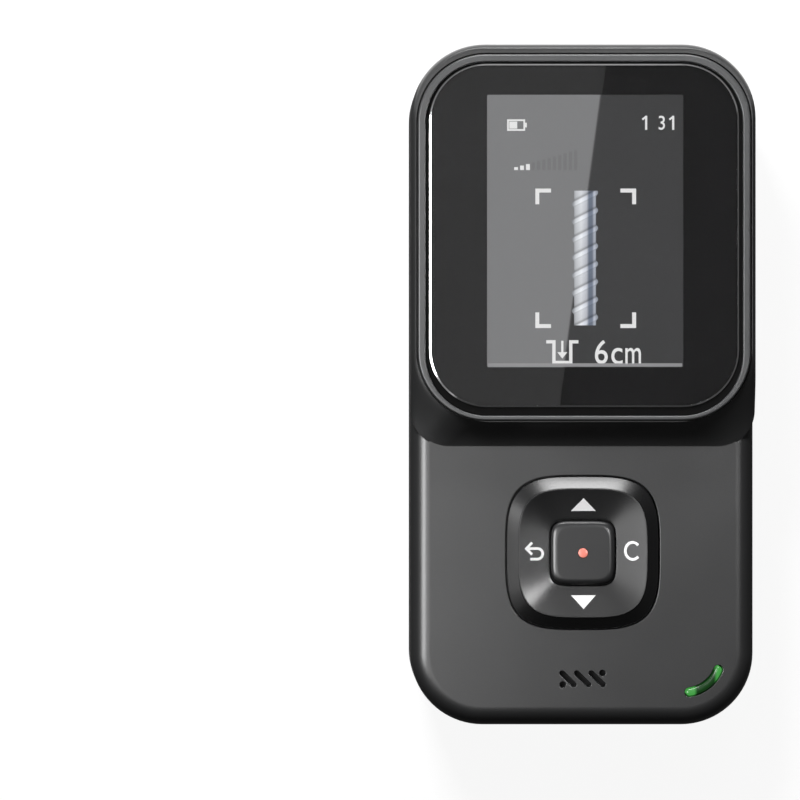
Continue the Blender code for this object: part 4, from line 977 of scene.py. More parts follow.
@dataclass
class Housing:
    """Front cover with its raised head, cove and openings."""

    wall: float = 1.8
    corner: float = 14.0
    panel_edge: float = 3.8
    lean: float = 0.4
    parting: float = 13.15
    head_rise: float = 4.2
    head_root: float = 8.0
    shoulder_edge: float = 3.4
    side_setback: float = 0.85
    end_setback: float = 1.375
    cove_run: float = 4.8
    cove_sag: float = 0.35
    cove_corner: float = 14.2
    cove_foot_corner: float = 7.0
    bezel_corner: float = 13.0
    module_corner: float = 1.2
    lens_recess: float = 1.8
    ledge: float = 1.4
    gap: float = 0.3
    foot_gap: float = 0.06
    foot_margin: float = 0.2
    lip: float = 0.14
    sliver: float = 0.02
    beyond: float = 1.0
    hollow_steps: int = 8
    edge_steps: int = 18
    cove_steps: int = 20

    def __post_init__(self) -> None:
        """Take the outer sizes and the main heights from the construction model."""
        low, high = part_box("front_shell")
        self.half_x = high.x
        self.half_y = high.y
        self.shoulder = high.z
        self.panel = self.shoulder - self.head_rise * MM
        self.ceiling = self.panel - self.wall * MM
        self.recess_floor = self.shoulder - self.lens_recess * MM
        self.head_ceiling = self.recess_floor - self.ledge * MM
        self.bezel_low, self.bezel_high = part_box("head_bezel")
        self.cove_top = self.bezel_low.y - self.foot_margin * MM
        self.cove_foot = self.cove_top - self.cove_run * MM
        self.below = low.z - self.beyond * MM

    def lean_at(self, height: float) -> float:
        """How far the walls lean in at a height."""
        return self.lean * MM * (height - self.parting * MM) / (self.bezel_high.z - self.parting * MM)

    def outline(self, inset: float) -> Outline:
        """Outline of the whole body, drawn in by an inset."""
        half_y = self.half_y - inset
        return rounded(self.half_x - inset, (-half_y, half_y), self.corner * MM - inset)

    def head_level(self, foot_y: float, height: float) -> tuple[Outline, float]:
        """Outline of the raised head at a height.

        Args:
            foot_y: The y of its foot.
            height: The height.

        Returns:
            The outline and the height.
        """
        edge = self.shoulder_edge * MM
        turn = 1 - (1 - limited((height - self.shoulder + edge) / edge) ** 2) ** 0.5
        lean = self.lean_at(height) + self.sliver * MM
        side = self.side_setback * MM * turn
        end = self.end_setback * MM * turn
        climb = limited((height - self.panel) / (self.shoulder - self.panel))
        foot_corner = self.cove_foot_corner + (self.cove_corner - self.cove_foot_corner) * climb
        head_corner = self.corner * MM - (side + end) / 2
        y = (foot_y, self.half_y - lean - end)
        return rounded(self.half_x - lean - side, y, foot_corner * MM, head_corner), height

    def head(self) -> Thing:
        """Build the raised head with the cove that leads down from it.

        Returns:
            The form.
        """
        depths = (self.head_root, self.sliver)
        levels = [self.head_level(self.cove_foot, self.panel - depth * MM) for depth in depths]
        for share in shares(self.cove_steps, 1):
            sag = 4 * share * (1 - share) * self.cove_sag * MM
            y = self.cove_foot + self.cove_run * MM * share + sag
            levels.append(self.head_level(y, self.panel + self.head_rise * MM * share - sag))
        return lofted("head_form", levels)

    def hollows(self) -> list[Thing]:
        """Build the cutters of the space inside the cover.

        Returns:
            The cutters.
        """
        wall = self.wall * MM
        edge = (self.panel_edge - self.wall) * MM
        upper = edge_round(wall + self.lean_at(self.panel), self.ceiling, edge, self.hollow_steps)
        panel = stacked("panel_hollow", self.outline, [(wall, self.below), *upper])
        inset = wall + (self.lean + 2 * self.gap) * MM
        slope = self.cove_run / self.head_rise
        foot = self.cove_top - (self.shoulder - self.head_ceiling) * slope + wall + self.gap * MM
        head = rounded(self.half_x - inset, (foot, self.half_y - inset), self.corner * MM - inset)
        return [panel, prism("head_hollow", head, self.below, self.head_ceiling)]

    def openings(self, keypad: Keypad, grille: Grille, light: StatusLight) -> list[Thing]:
        """Build the cutters of what opens in the cover's face.

        Args:
            keypad: Gives the pad's hole.
            grille: Gives the grille's slots and holes.
            light: Gives the slot of the status light.

        Returns:
            The cutters.
        """
        gap = self.gap * MM
        beyond = self.beyond * MM
        top = self.shoulder + 2 * beyond
        y = (self.bezel_low.y - self.foot_gap * MM, self.bezel_high.y + gap)
        recess = rounded(self.bezel_high.x + gap, y, (self.bezel_corner + self.gap / 2) * MM)
        low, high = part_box("display_module")
        y = (low.y - 2 * gap, high.y + 2 * gap)
        frame = rounded(high.x + 2 * gap, y, self.module_corner * MM)
        cutters = [
            prism("lens_recess", recess, self.recess_floor, top),
            prism("display_opening", frame, self.head_ceiling - beyond, top),
        ]
        holes = [("pad_hole", keypad.hole_outline), ("light_slot", light.slot_outline)]
        for name, outline_at in holes + grille.outlines():
            cutters.append(flared(name, outline_at, self.ceiling - beyond, self.panel, self.lip * MM))
        return cutters

    def front_cover(self, keypad: Keypad, grille: Grille, light: StatusLight) -> None:
        """Build the front cover.

        Args:
            keypad: Gives the pad's hole.
            grille: Gives the grille's slots and holes.
            light: Gives the slot of the status light.
        """
        lean = self.lean_at(self.panel)
        upper = edge_round(lean, self.panel, self.panel_edge * MM, self.edge_steps)
        cover = stacked("front_cover", self.outline, [(0.0, self.parting * MM), *upper])
        work(cover, [self.head()], "UNION")
        work(cover, self.hollows(), "DIFFERENCE")
        work(cover, self.openings(keypad, grille, light), "DIFFERENCE")
        dress(smoothed(cover), SHELL, Body.HOUSING, "shell_plastic", "front_shell")


@dataclass
class BackCover:
    """The moulded back with its battery bay, screw recesses and foot seats."""

    housing: Housing
    edge: float = 4.0
    lean: float = 0.4
    wall: float = 1.8
    back: float = 0.6
    top: float = 12.85
    bay: Box = (17.15, -58.8, -8.7, 13.7)
    bay_wall: float = 1.2
    bay_foot: float = 0.3
    base: Box = (22.25, -62.6, -5.0, 4.4)
    recess: Place = (19.95, -6.2, 2.9)
    groove: Box = (21.05, -8.9, 1.2, 2.6)
    screw_x: float = 26.0
    screw_y: Point = (39.0, -40.0)
    screw_bore: float = 1.5
    screw_head: Point = (2.8, 3.7)
    boss: Box = (4.0, 4.9, 2.8, 12.7)
    seat_place: Point = (24.4, 51.0)
    seat: Point = (3.6, 1.1)
    post_x: float = 20.2
    post_y: Point = (57.0, -18.0)
    post: Point = (2.1, 15.9)
    beyond: float = 1.0
    steps: int = 14

    def form(self, name: str, inset: float, low: float, edge: float, top: float) -> Thing:
        """A rounded tub that follows the body's outline.

        Args:
            name: The name of its object.
            inset: How far inside the outer wall it runs.
            low: Its lower side.
            edge: Radius of its lower edge.
            top: Its upper side.

        Returns:
            The form.
        """
        lower = [(inset + self.lean + edge * (1 - y), low + edge * (1 - x)) for x, y in quarter(self.steps)]
        profile = [(size * MM, height * MM) for size, height in (*lower, (inset, top))]
        return stacked(name, self.housing.outline, profile)

    def box(self, name: str, half_x: float, y: Point, z: Point) -> Thing:
        """A rectangular form centred across the body, in millimetres."""
        corners = [(-half_x, y[0]), (half_x, y[0]), (half_x, y[1]), (-half_x, y[1])]
        return prism(name, [(x * MM, along * MM) for x, along in corners], z[0] * MM, z[1] * MM)

    def spots(self, name: str, x: float, ys: Point, profile: list[Point]) -> list[Thing]:
        """Turned forms at two places on each side of the body.

        Args:
            name: Start of their names.
            x: Distance from the middle of the body to their axes.
            ys: The y of each pair.
            profile: Pairs of radius and height, in millimetres.

        Returns:
            The forms.
        """
        profile = [(radius * MM, height * MM) for radius, height in profile]
        places = [(side * x * MM, y * MM) for y in ys for side in (-1, 1)]
        return [turned(f"{name}_{n}", profile, place) for n, place in enumerate(places)]

    def added(self) -> list[Thing]:
        """Build what stands on the inside of the back.

        Returns:
            The forms.
        """
        low = self.back + self.wall / 2
        half_x, foot, head, ceiling = self.bay
        wall = self.bay_wall
        base_x, base_foot, base_head, base_top = self.base
        wide, step, narrow, top = self.boss
        boss = [(wide, low), (wide, step), (narrow, step), (narrow, top)]
        bay_z = (low + self.bay_foot, ceiling + wall)
        return [
            self.box("bay_base", base_x, (base_foot, base_head), (low, base_top)),
            self.box("bay_walls", half_x + wall, (foot - wall, head + wall), bay_z),
            *self.spots("boss", self.screw_x, self.screw_y, boss),
            *self.spots("post", self.post_x, self.post_y, [(self.post[0], low), self.post]),
        ]

    def removed(self) -> list[Thing]:
        """Build what is cut out of the back.

        Returns:
            The forms.
        """
        below = -self.beyond
        outside = -self.housing.half_y / MM - self.beyond
        half_x, foot, head, ceiling = self.bay
        recess_x, recess_head, recess_top = self.recess
        groove_x, groove_head, groove_low, groove_high = self.groove
        seat_x, seat_y = self.seat_place
        bore = [(self.screw_bore, below), (self.screw_bore, self.top + 2 * self.beyond)]
        sink = [(self.screw_head[0], below), self.screw_head]
        return [
            self.box("bay_room", half_x, (foot, head), (below, ceiling)),
            self.box("door_recess", recess_x, (outside, recess_head), (below, recess_top)),
            self.box("door_groove", groove_x, (outside, groove_head), (groove_low, groove_high)),
            *self.spots("bore", self.screw_x, self.screw_y, bore),
            *self.spots("sink", self.screw_x, self.screw_y, sink),
            *self.spots("seat", seat_x, (seat_y, -seat_y), [(self.seat[0], below), self.seat]),
        ]

    def build(self) -> None:
        """Build the back."""
        cover = self.form("rear_cover", 0.0, self.back, self.edge, self.top)
        inner = self.edge - self.wall
        hollow = self.form("hollow", self.wall, self.back + self.wall, inner, self.top + self.beyond)
        work(cover, [hollow], "DIFFERENCE")
        work(cover, self.added(), "UNION")
        work(cover, self.removed(), "DIFFERENCE")
        dress(smoothed(cover), BACK, Body.HOUSING, "back_plastic", "rear_shell")


@dataclass
class Head:
    """The bezel, the cover glass and the black print beneath it."""

    band: float = 1.45
    foot_band: float = 0.95
    bezel_corner: float = 13.0
    outer_round: float = 0.45
    inner_round: float = 0.25
    glass_corner: float = 10.8
    bevel_run: float = 0.30
    bevel_drop: float = 0.11
    bevel_slopes: Point = (0.2, 0.98)
    print_inset: float = 0.10
    print_gap: float = 0.03
    print_thickness: float = 0.10
    window_corner: float = 0.25
    seat_overlap: float = 0.15
    seat_clearance: float = 0.04
    seat_depth: float = 0.5
    steps: int = 28

    def ring_outline(self, node: str, corner: float, inset: float, foot_inset: float) -> Outline:
        """Outline of a node with round corners, drawn in.

        Args:
            node: The node's name.
            corner: Its corner radius, in millimetres.
            inset: How far it is drawn in at its sides and its head.
            foot_inset: How far it is drawn in at its foot.

        Returns:
            The outline.
        """
        low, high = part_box(node)
        y = (low.y + foot_inset, high.y - inset)
        return rounded(high.x - inset, y, corner * MM - inset, steps=self.steps)

    def bezel_outline(self, inset: float, foot_inset: float) -> Outline:
        """Outline of the bezel, drawn in."""
        return self.ring_outline("head_bezel", self.bezel_corner, inset, foot_inset)

    def glass_outline(self, inset: float) -> Outline:
        """Outline of the glass, drawn in."""
        return self.ring_outline("display_lens", self.glass_corner, inset, inset)

    def bezel(self) -> None:
        """Build the rim round the glass."""
        low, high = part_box("head_bezel")
        band, foot_band = self.band * MM, self.foot_band * MM
        levels = [(self.bezel_outline(0.0, 0.0), low.z)]
        for inset, height in edge_round(0.0, high.z, self.outer_round * MM, steps=8):
            levels.append((self.bezel_outline(inset, inset), height))
        for back, height in reversed(edge_round(0.0, high.z, self.inner_round * MM, steps=6)):
            levels.append((self.bezel_outline(band - back, foot_band - back), height))
        levels.append((self.bezel_outline(band, foot_band), low.z))
        rim = smoothed(lofted("bezel_rim", levels, closed=True), angle=50)
        dress(rim, BEZEL, Body.HOUSING, "bezel_plastic", "head_bezel")

    def glass(self) -> None:
        """Build the cover glass, with a polished bevel round its face."""
        low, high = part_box("display_lens")
        profile = [(0.0, low.z), (0.0, high.z - self.bevel_drop * MM), (self.bevel_run * MM, high.z)]
        cover = stacked("cover_glass", self.glass_outline, profile)
        dress(cover, ClearGlass(), Body.HOUSING, "lens_glass", "display_lens")
        flattest, steepest = self.bevel_slopes
        second_look(cover, POLISHED_EDGE, lambda normal: flattest < normal.z < steepest)

    def frame(self, name: str, sides: tuple[Outline, Outline], z: Point, look: Look, slot: str) -> None:
        """Build a flat frame.

        Args:
            name: The name of the piece.
            sides: Its outer and its inner outline.
            z: Its lower and its upper height.
            look: Its look.
            slot: The record's material slot.
        """
        outer, inner = sides
        levels = [(outer, z[0]), (outer, z[1]), (inner, z[1]), (inner, z[0])]
        dress(lofted(name, levels, closed=True), look, Body.HOUSING, slot)

    def seat(self) -> None:
        """Build the black seat that fills the gap between the glass and the bezel; its near-black, barely
        reflecting finish is partly painted shade for that gap.
        """
        low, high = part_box("display_lens")
        overlap = self.seat_overlap
        outer = self.bezel_outline((self.band - overlap) * MM, (self.foot_band - overlap) * MM)
        inner = self.glass_outline(-self.seat_clearance * MM)
        heights = (low.z - overlap * MM, high.z - self.seat_depth * MM)
        self.frame("glass_seat", (outer, inner), heights, SEAT_BLACK_AND_SHADE, "foam")

    def print_frame(self, screen: Screen) -> None:
        """Build the black print round the display's window.

        Args:
            screen: Gives the window's outline.
        """
        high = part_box("display_lens")[0].z - self.print_gap * MM
        outer = self.glass_outline(self.print_inset * MM)
        half = screen.width / 2 * MM
        y = ((screen.top - screen.length) * MM, screen.top * MM)
        inner = rounded(half, y, self.window_corner * MM, middle=screen.left * MM + half, steps=self.steps)
        heights = (high - self.print_thickness * MM, high)
        self.frame("glass_print", (outer, inner), heights, PRINT_BLACK, "lens_glass")

    def build(self, screen: Screen) -> None:
        """Build the bezel, the glass, its seat and its print.

        Args:
            screen: Gives the window's outline.
        """
        self.bezel()
        self.glass()
        self.seat()
        self.print_frame(screen)


@dataclass
class Screen:
    """The display's lit face and what it shows, in millimetres from its upper left corner."""

    left: float = -18.27
    top: float = 54.88
    width: float = 37.0
    length: float = 51.4
    overlap: float = 0.4
    face_gap: float = 0.02
    face_rise: float = 0.09
    mark_step: float = 0.02
    mark_thickness: float = 0.03
    line: float = 0.32
    corner_line: float = 0.74
    corner_reach: float = 2.95
    battery: Box = (3.78, 7.17, 4.64, 6.80)
    charge: float = 1.5
    charge_margin: Point = (0.4, 0.42)
    bars_left: float = 5.10
    bars_foot: float = 14.2
    bar_count: int = 12
    bar_pitch: float = 1.0
    bar_rise: Point = (0.55, 0.29)
    lit_bars: int = 3
    lit_bar: Point = (0.12, 0.72)
    faint_bar: Point = (0.3, 0.62)
    corners: Box = (9.10, 28.10, 17.70, 44.0)
    rod: Box = (16.2, 20.75, 18.1, 43.5)
    rod_pitch: float = 3.36
    rod_slant: float = 0.50
    rod_inset: Point = (0.12, 0.1)
    rib_swell: Point = (0.42, 0.40)
    rod_steps: int = 132
    channel: Box = (12.6, 15.78, 46.6, 50.5)
    channel_flange: float = 1.45
    channel_line: float = 0.62
    arrow_line: float = 0.42
    arrow_shaft: Point = (0.2, 1.5)
    arrow_head: Place = (0.95, 1.95, 0.75)
    foot_line: Box = (0.2, 36.8, 50.65, 51.3)
    reading: tuple[tuple[str, str, float, Point, float], ...] = (
        ("angle_figure_1", "1", 30.0, (3.96, 6.61), 1.0),
        ("angle_figure_2", "3", 32.95, (3.96, 6.61), 0.86),
        ("angle_figure_3", "1", 35.1, (3.96, 6.61), 1.0),
        ("depth_figure", "6", 21.55, (46.26, 50.8), 0.88),
        ("depth_unit_c", "c", 24.5, (47.75, 50.85), 0.88),
        ("depth_unit_m", "m", 27.55, (47.75, 50.8), 0.68),
    )
    figure_line: float = 0.40
    flag: Point = (0.72, 0.17)
    flag_share: float = 0.9
    letter_weight: float = 0.004

    def __post_init__(self) -> None:
        """Take the heights from the construction model."""
        self.module_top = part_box("display_module")[1].z
        self.face_top = self.module_top + self.face_rise * MM
        self.mark_top = self.face_top + (self.mark_step + self.mark_thickness) * MM

    def place(self, across: float, down: float) -> Point:
        """The x and y of a place on the display."""
        return (self.left + across) * MM, (self.top - down) * MM

    def run(self, *places: Point) -> Outline:
        """The x and y of some places on the display."""
        return [self.place(*place) for place in places]

    def box(self, left: float, right: float, up: float, down: float) -> Outline:
        """Outline of a rectangle on the display."""
        return self.run((left, down), (right, down), (right, up), (left, up))

    def marks(self, name: str, loops: list[Outline], look: Look = MARK_WHITE) -> None:
        """Build lit marks on the display.

        Args:
            name: The name of the piece.
            loops: Their outlines.
            look: Their look.
        """
        bm = bmesh.new()
        heights = (self.mark_top - self.mark_thickness * MM, self.mark_top)
        for loop in loops:
            add_loft(bm, [[(x, y, height) for x, y in loop] for height in heights])
        dress(add_object(name, bm), look, Body.HOUSING, "display")

    def face(self) -> None:
        """Build the lit face over the display module."""
        over = self.overlap
        outline = self.box(-over, self.width + over, -over, self.length + over)
        face = prism("display_face", outline, self.module_top + self.face_gap * MM, self.face_top)
        dress(face, ScreenLightWithPaintedGlare(), Body.HOUSING, "display")

    def battery_mark(self) -> None:
        """Build the sign that shows the charge."""
        left, right, up, down = self.battery
        line = self.line
        side, end = self.charge_margin
        rows = (
            (left, right, up, up + line),
            (left, right, down - line, down),
            (left, left + line, up + line, down - line),
            (right - line, right, up + line, down - line),
            (right, right + line, up + 2 * line, down - 2 * line),
            (left + side, left + side + self.charge, up + end, down - end),
        )
        self.marks("charge_sign", [self.box(*row) for row in rows])

    def signal_bars(self) -> None:
        """Build the row of rising bars, the first ones lit and the others faint."""
        lit = []
        faint = []
        for number in range(self.bar_count):
            shines = number < self.lit_bars
            shift, width = self.lit_bar if shines else self.faint_bar
            left = self.bars_left + number * self.bar_pitch + shift * (number if shines else 1)
            rise = self.bar_rise[0] + self.bar_rise[1] * number
            bar = self.box(left, left + width, self.bars_foot - rise, self.bars_foot)
            (lit if shines else faint).append(bar)
        self.marks("signal_bars_lit", lit)
        self.marks("signal_bars_faint", faint, MARK_FAINT)

    def corner_marks(self) -> None:
        """Build the four corners that frame the picture."""
        left, right, up, down = self.corners
        half = self.corner_line / 2
        reach = self.corner_reach - half
        loops = []
        for x, side in ((left + half, reach), (right - half, -reach)):
            for y, way in ((up + half, reach), (down - half, -reach)):
                run = self.run((x + side, y), (x, y), (x, y + way))
                loops.append(stroke(run, self.corner_line * MM))
        self.marks("frame_corners", loops)

    def rod_picture(self) -> None:
        """Build the picture of a ribbed rod, with the ribs proud of its sides."""
        left, right, up, down = self.rod
        inset, root = self.rod_inset
        swell, extent = self.rib_swell
        half = (right - left) / 2 - inset
        middle = (left + right) / 2
        sides: dict[int, Outline] = {-1: [], 1: []}
        for share in shares(self.rod_steps):
            y = down - (down - up) * share
            for side, points in sides.items():
                climb = (self.top - y) - self.rod_slant * (half + side * half)
                turn = (climb / self.rod_pitch) % 1.0
                out = max(0.0, sin(pi * min(1.0, turn / extent)))
                points.append(self.place(middle + side * (half - root + swell * out), y))
        look = RodPicture(self.left + left, right - left, self.rod_pitch, self.rod_slant)
        self.marks("rod_picture", [sides[1] + sides[-1][::-1]], look)

    def depth_mark(self) -> None:
        """Build the sign for depth: a channel with an arrow down into it."""
        left, right, up, down = self.channel
        flange = self.channel_flange
        wide, shoulder, tip = self.arrow_head
        middle = (left + right) / 2
        channel = self.run(
            (left - flange, up), (left, up), (left, down), (right, down), (right, up), (right + flange, up)
        )
        shaft = self.run((middle, up - self.arrow_shaft[0]), (middle, down - self.arrow_shaft[1]))
        head = self.run(
            (middle, down - tip), (middle + wide, down - shoulder), (middle - wide, down - shoulder)
        )
        lines = [stroke(channel, self.channel_line * MM), stroke(shaft, self.arrow_line * MM)]
        self.marks("depth_sign", [*lines, head])

    def lettering(self, name: str, text: str, middle: float, rows: Point, wide: float) -> None:
        """Build part of the reading.

        Args:
            name: The name of the piece.
            text: What it says.
            middle: Its middle.
            rows: Its upper and its lower side.
            wide: How wide its letters are drawn, where 1 is their usual form.
        """
        curve = bpy.data.curves.new(name, "FONT")
        curve.body = text
        curve.resolution_u = 6
        curve.offset = self.letter_weight
        letters = bpy.data.objects.new(name, curve)
        bpy.context.scene.collection.objects.link(letters)
        graph = bpy.context.evaluated_depsgraph_get()
        mesh = bpy.data.meshes.new_from_object(letters.evaluated_get(graph))
        bpy.data.objects.remove(letters)
        bpy.data.curves.remove(curve)
        xs = [vertex.co.x for vertex in mesh.vertices]
        ys = [vertex.co.y for vertex in mesh.vertices]
        scale = (rows[1] - rows[0]) / (max(ys) - min(ys)) * MM
        start = self.place(middle, rows[1])
        for vertex in mesh.vertices:
            x = start[0] + (vertex.co.x - (min(xs) + max(xs)) / 2) * scale * wide
            vertex.co = (x, start[1] + (vertex.co.y - min(ys)) * scale, self.mark_top)
        mesh.name = name
        thing = bpy.data.objects.new(name, mesh)
        bpy.context.scene.collection.objects.link(thing)
        thickened(thing, self.mark_thickness * MM)
        dress(thing, MARK_WHITE, Body.HOUSING, "display")

    def figure_one(self, name: str, middle: float, rows: Point) -> None:
        """Build a figure 1, with a flag at its head.

        Args:
            name: The name of the piece.
            middle: The middle of its stem.
            rows: Its upper and its lower side.
        """
        up, down = rows
        width = self.figure_line * MM
        reach, drop = self.flag
        stem = stroke(self.run((middle, up), (middle, down)), width)
        flag = stroke(self.run((middle - reach, up + reach), (middle, up + drop)), self.flag_share * width)
        self.marks(name, [stem, flag])

    def build(self) -> None:
        """Build the lit face, its marks and its reading."""
        self.face()
        self.battery_mark()
        self.signal_bars()
        self.corner_marks()
        self.rod_picture()
        self.depth_mark()
        self.marks("display_foot_line", [self.box(*self.foot_line)], MARK_LINE)
        for name, text, middle, rows, wide in self.reading:
            if text == "1":
                self.figure_one(name, middle, rows)
            else:
                self.lettering(name, text, middle, rows, wide)


@dataclass
class Keypad:
    """The four-way pad with its marks, the centre key and its light."""

    size: float = 28.7
    crest_size: float = 24.3
    power: float = 3.6
    key_power: float = 5.2
    key_size: float = 12.1
    running_gap: float = 0.35
    crest_rise: float = 1.5
    crest_round: float = 0.16
    flank_steps: int = 16
    crest_steps: int = 6
    dish_steps: int = 24
    print_steps: int = 6
    arrow_steps: int = 12
    settling_rounds: int = 8
    dish_depth: float = 1.3
    dish_curve: float = 0.14
    flange_size: float = 31.2
    flange_thickness: float = 0.8
    rim_lift: float = 0.25
    skirt_lift: float = 0.12
    wall: float = 1.3
    lip_size: float = 0.3
    lip_drop: float = 0.05
    key_rise: float = 1.4
    key_bevel: float = 1.25
    key_bevel_drop: float = 0.85
    key_flange: float = 2.0
    key_hollow: float = 3.1
    light_gap: float = 0.15
    light_foot: float = 0.3
    light_lip: float = 0.06
    light_flare: float = 0.1
    dome_turn: float = 80.0
    print_rise: float = 0.025
    print_depth: float = 0.06
    stroke_width: float = 0.50
    arrow_middle: float = 0.1
    arrow_half: float = 2.33
    arrow_tip: float = 0.02
    arrow_rows: tuple[tuple[str, float, float], ...] = (
        ("up_mark", 7.95, 10.36),
        ("down_mark", -8.05, -10.6),
    )
    back_tip: Point = (-10.75, 0.82)
    back_barb: Point = (1.1, 1.12)
    barb_steps: tuple[float, ...] = (-0.12, 0.25, 0.6, 1.0)
    back_upper: tuple[float, ...] = (-10.6, -10.0, -9.4, -8.9)
    back_lower: tuple[float, ...] = (-9.0, -9.5, -10.0)
    bend_x: float = -8.62
    bend_radius: float = 1.0
    ring_centre: Point = (9.42, 0.38)
    ring_size: Point = (1.36, 1.62)
    ring_turn: Point = (42.0, 276.0)

    def __post_init__(self) -> None:
        """Take the places from the construction model."""
        low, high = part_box("nav_pad")
        self.centre_y = (low.y + high.y) / 2
        self.panel = high.z - self.crest_rise * MM
        self.low = low.z
        self.hole = self.key_size + 2 * self.running_gap

    def hole_outline(self, margin: float) -> Outline:
        """Outline of the hole in the panel, widened by a margin."""
        size = (self.size + 2 * self.running_gap) * MM + 2 * margin
        return squircle(size, self.centre_y, self.power)

    def key_outline(self, size: float) -> Outline:
        """Outline of the key at a size, in millimetres."""
        return squircle(size * MM, self.centre_y, self.key_power)

    def pad_outline(self, size: float) -> Outline:
        """Outline of the pad at a size, in millimetres."""
        return squircle(size * MM, self.centre_y, self.power_at(size))

    def share_at(self, size: float) -> float:
        """How far in from the crest to the hole a size is, as a share."""
        return limited((self.crest_size - size) / (self.crest_size - self.hole))

    def power_at(self, size: float) -> float:
        """How square the pad's outline is at a size, in millimetres."""
        return self.power + (self.key_power - self.power) * self.share_at(size)

    def face_height(self, size: float) -> float:
        """Height of the dished face.

        Args:
            size: The size of its outline there, in millimetres.

        Returns:
            The height, in metres.
        """
        share = self.share_at(size)
        fall = share + self.dish_curve * share * (1 - share)
        return self.panel + (self.crest_rise - self.dish_depth * fall) * MM

    def dish_height(self, x: float, y: float) -> float:
        """Height of the dished face under a point.

        Args:
            x: The point's x from the pad's centre, in millimetres.
            y: Its y from the pad's centre, in millimetres.

        Returns:
            The height, in metres.
        """
        size = 2 * hypot(x, y)
        for _ in range(self.settling_rounds):
            power = self.power_at(size)
            size = 2 * (abs(x) ** power + abs(y) ** power) ** (1 / power)
        return self.face_height(size)

    def pad(self) -> None:
        """Build the pad: flange, raised flank, rounded crest, dished face and hub."""
        crest = self.panel + self.crest_rise * MM
        flange_top = self.low + self.flange_thickness * MM
        pocket = crest - (self.dish_depth + self.wall) * MM
        curl = self.crest_round
        profile = [
            (self.flange_size, self.low + self.rim_lift * MM),
            (self.flange_size, flange_top),
            (self.size, flange_top),
        ]
        for share in shares(self.flank_steps):
            height = self.panel + (self.crest_rise - curl) * share * MM
            profile.append((self.size - (self.size - self.crest_size - 2 * curl) * share, height))
        for rest in [1 - share for share in shares(self.crest_steps, first=1)[:-1]]:
            profile.append((self.crest_size + 2 * curl * rest, crest - curl * rest**2 * MM))
        for share in shares(self.dish_steps):
            size = self.crest_size - (self.crest_size - self.hole - self.lip_size) * share
            profile.append((size, self.face_height(size)))
        profile.append((self.hole, profile[-1][1] - self.lip_drop * MM))
        hub = self.hole + 2 * self.wall
        skirt = self.size - 2 * self.wall
        profile += [
            (self.hole, self.low),
            (hub, self.low),
            (hub, pocket),
            (skirt, pocket),
            (skirt, self.low + self.skirt_lift * MM),
        ]
        pad = smoothed(stacked("four_way_pad", self.pad_outline, profile, closed=True), angle=24)
        dress(pad, PAD, Body.NAV_PAD, "key_plastic", "nav_pad")

    def printed(self, name: str, strips: list[tuple[Outline, Outline]]) -> None:
        """Build a mark printed on the dished face.

        Args:
            name: The name of the piece.
            strips: Pairs of runs of points of equal length, in millimetres from the pad's
                centre; the face between each pair is printed.
        """
        bm = bmesh.new()
        for first, second in strips:
            grid = []
            for (x0, y0), (x1, y1) in zip(first, second):
                row = []
                for share in shares(self.print_steps):
                    x = x0 + (x1 - x0) * share
                    y = y0 + (y1 - y0) * share
                    height = self.dish_height(x, y) + self.print_rise * MM
                    row.append(bm.verts.new((x * MM, self.centre_y + y * MM, height)))
                grid.append(row)
            for row, after in zip(grid, grid[1:]):
                for a, b, c, d in zip(row, row[1:], after[1:], after):
                    bm.faces.new((a, b, c, d))
        bmesh.ops.remove_doubles(bm, verts=bm.verts, dist=2 * MERGE)
        mark = add_object(name, bm)
        for face in mark.data.polygons:
            if face.normal.z < 0:
                face.flip()
        thickened(mark, self.print_depth * MM)
        dress(mark, KEY_PRINT_PAINTED_GLOW, Body.NAV_PAD, "key_plastic")

    def ribbon(self, points: Outline) -> tuple[Outline, Outline]:
        """The two sides of a printed line.

        Args:
            points: The middle of the line, in millimetres from the pad's centre.

        Returns:
            Its left and right sides.
        """
        sides: tuple[Outline, Outline] = ([], [])
        half = self.stroke_width / 2
        nearby = zip(points[:1] + points, points, points[1:] + points[-1:])
        for (x0, y0), (x, y), (x1, y1) in nearby:
            across = atan2(y1 - y0, x1 - x0) + pi / 2
            sides[0].append((x + half * cos(across), y + half * sin(across)))
            sides[1].append((x - half * cos(across), y - half * sin(across)))
        return sides

    def arrows(self) -> None:
        """Print the marks for up and down."""
        middle = self.arrow_middle
        for name, base, tip in self.arrow_rows:
            rows = []
            for share in shares(self.arrow_steps):
                rows.append((base + (tip - base) * share, self.arrow_half * (1 - share) + self.arrow_tip))
            left = [(middle - half, y) for y, half in rows]
            self.printed(name, [(left, [(middle + half, y) for y, half in rows])])

    def back_mark(self) -> None:
        """Print the mark for going back: an arrow that turns round."""
        x, y = self.back_tip
        out, up = self.back_barb
        runs = []
        for way in (up, -up):
            runs.append([(x + out * share, y + way * share) for share in self.barb_steps])
        radius = self.bend_radius
        line = [(along, y) for along in self.back_upper]
        line += arc(radius, (self.bend_x, y - radius), 90, -180, steps=12)
        line += [(along, y - 2 * radius) for along in self.back_lower]
        self.printed("back_mark", [self.ribbon(run) for run in (*runs, line)])

    def clear_mark(self) -> None:
        """Print the mark for clearing a reading: an open ring."""
        (x, y), (across, along) = self.ring_centre, self.ring_size
        turns = arc(1.0, (0.0, 0.0), *self.ring_turn, steps=28)
        self.printed("clear_mark", [self.ribbon([(x + across * c, y + along * s) for c, s in turns])])

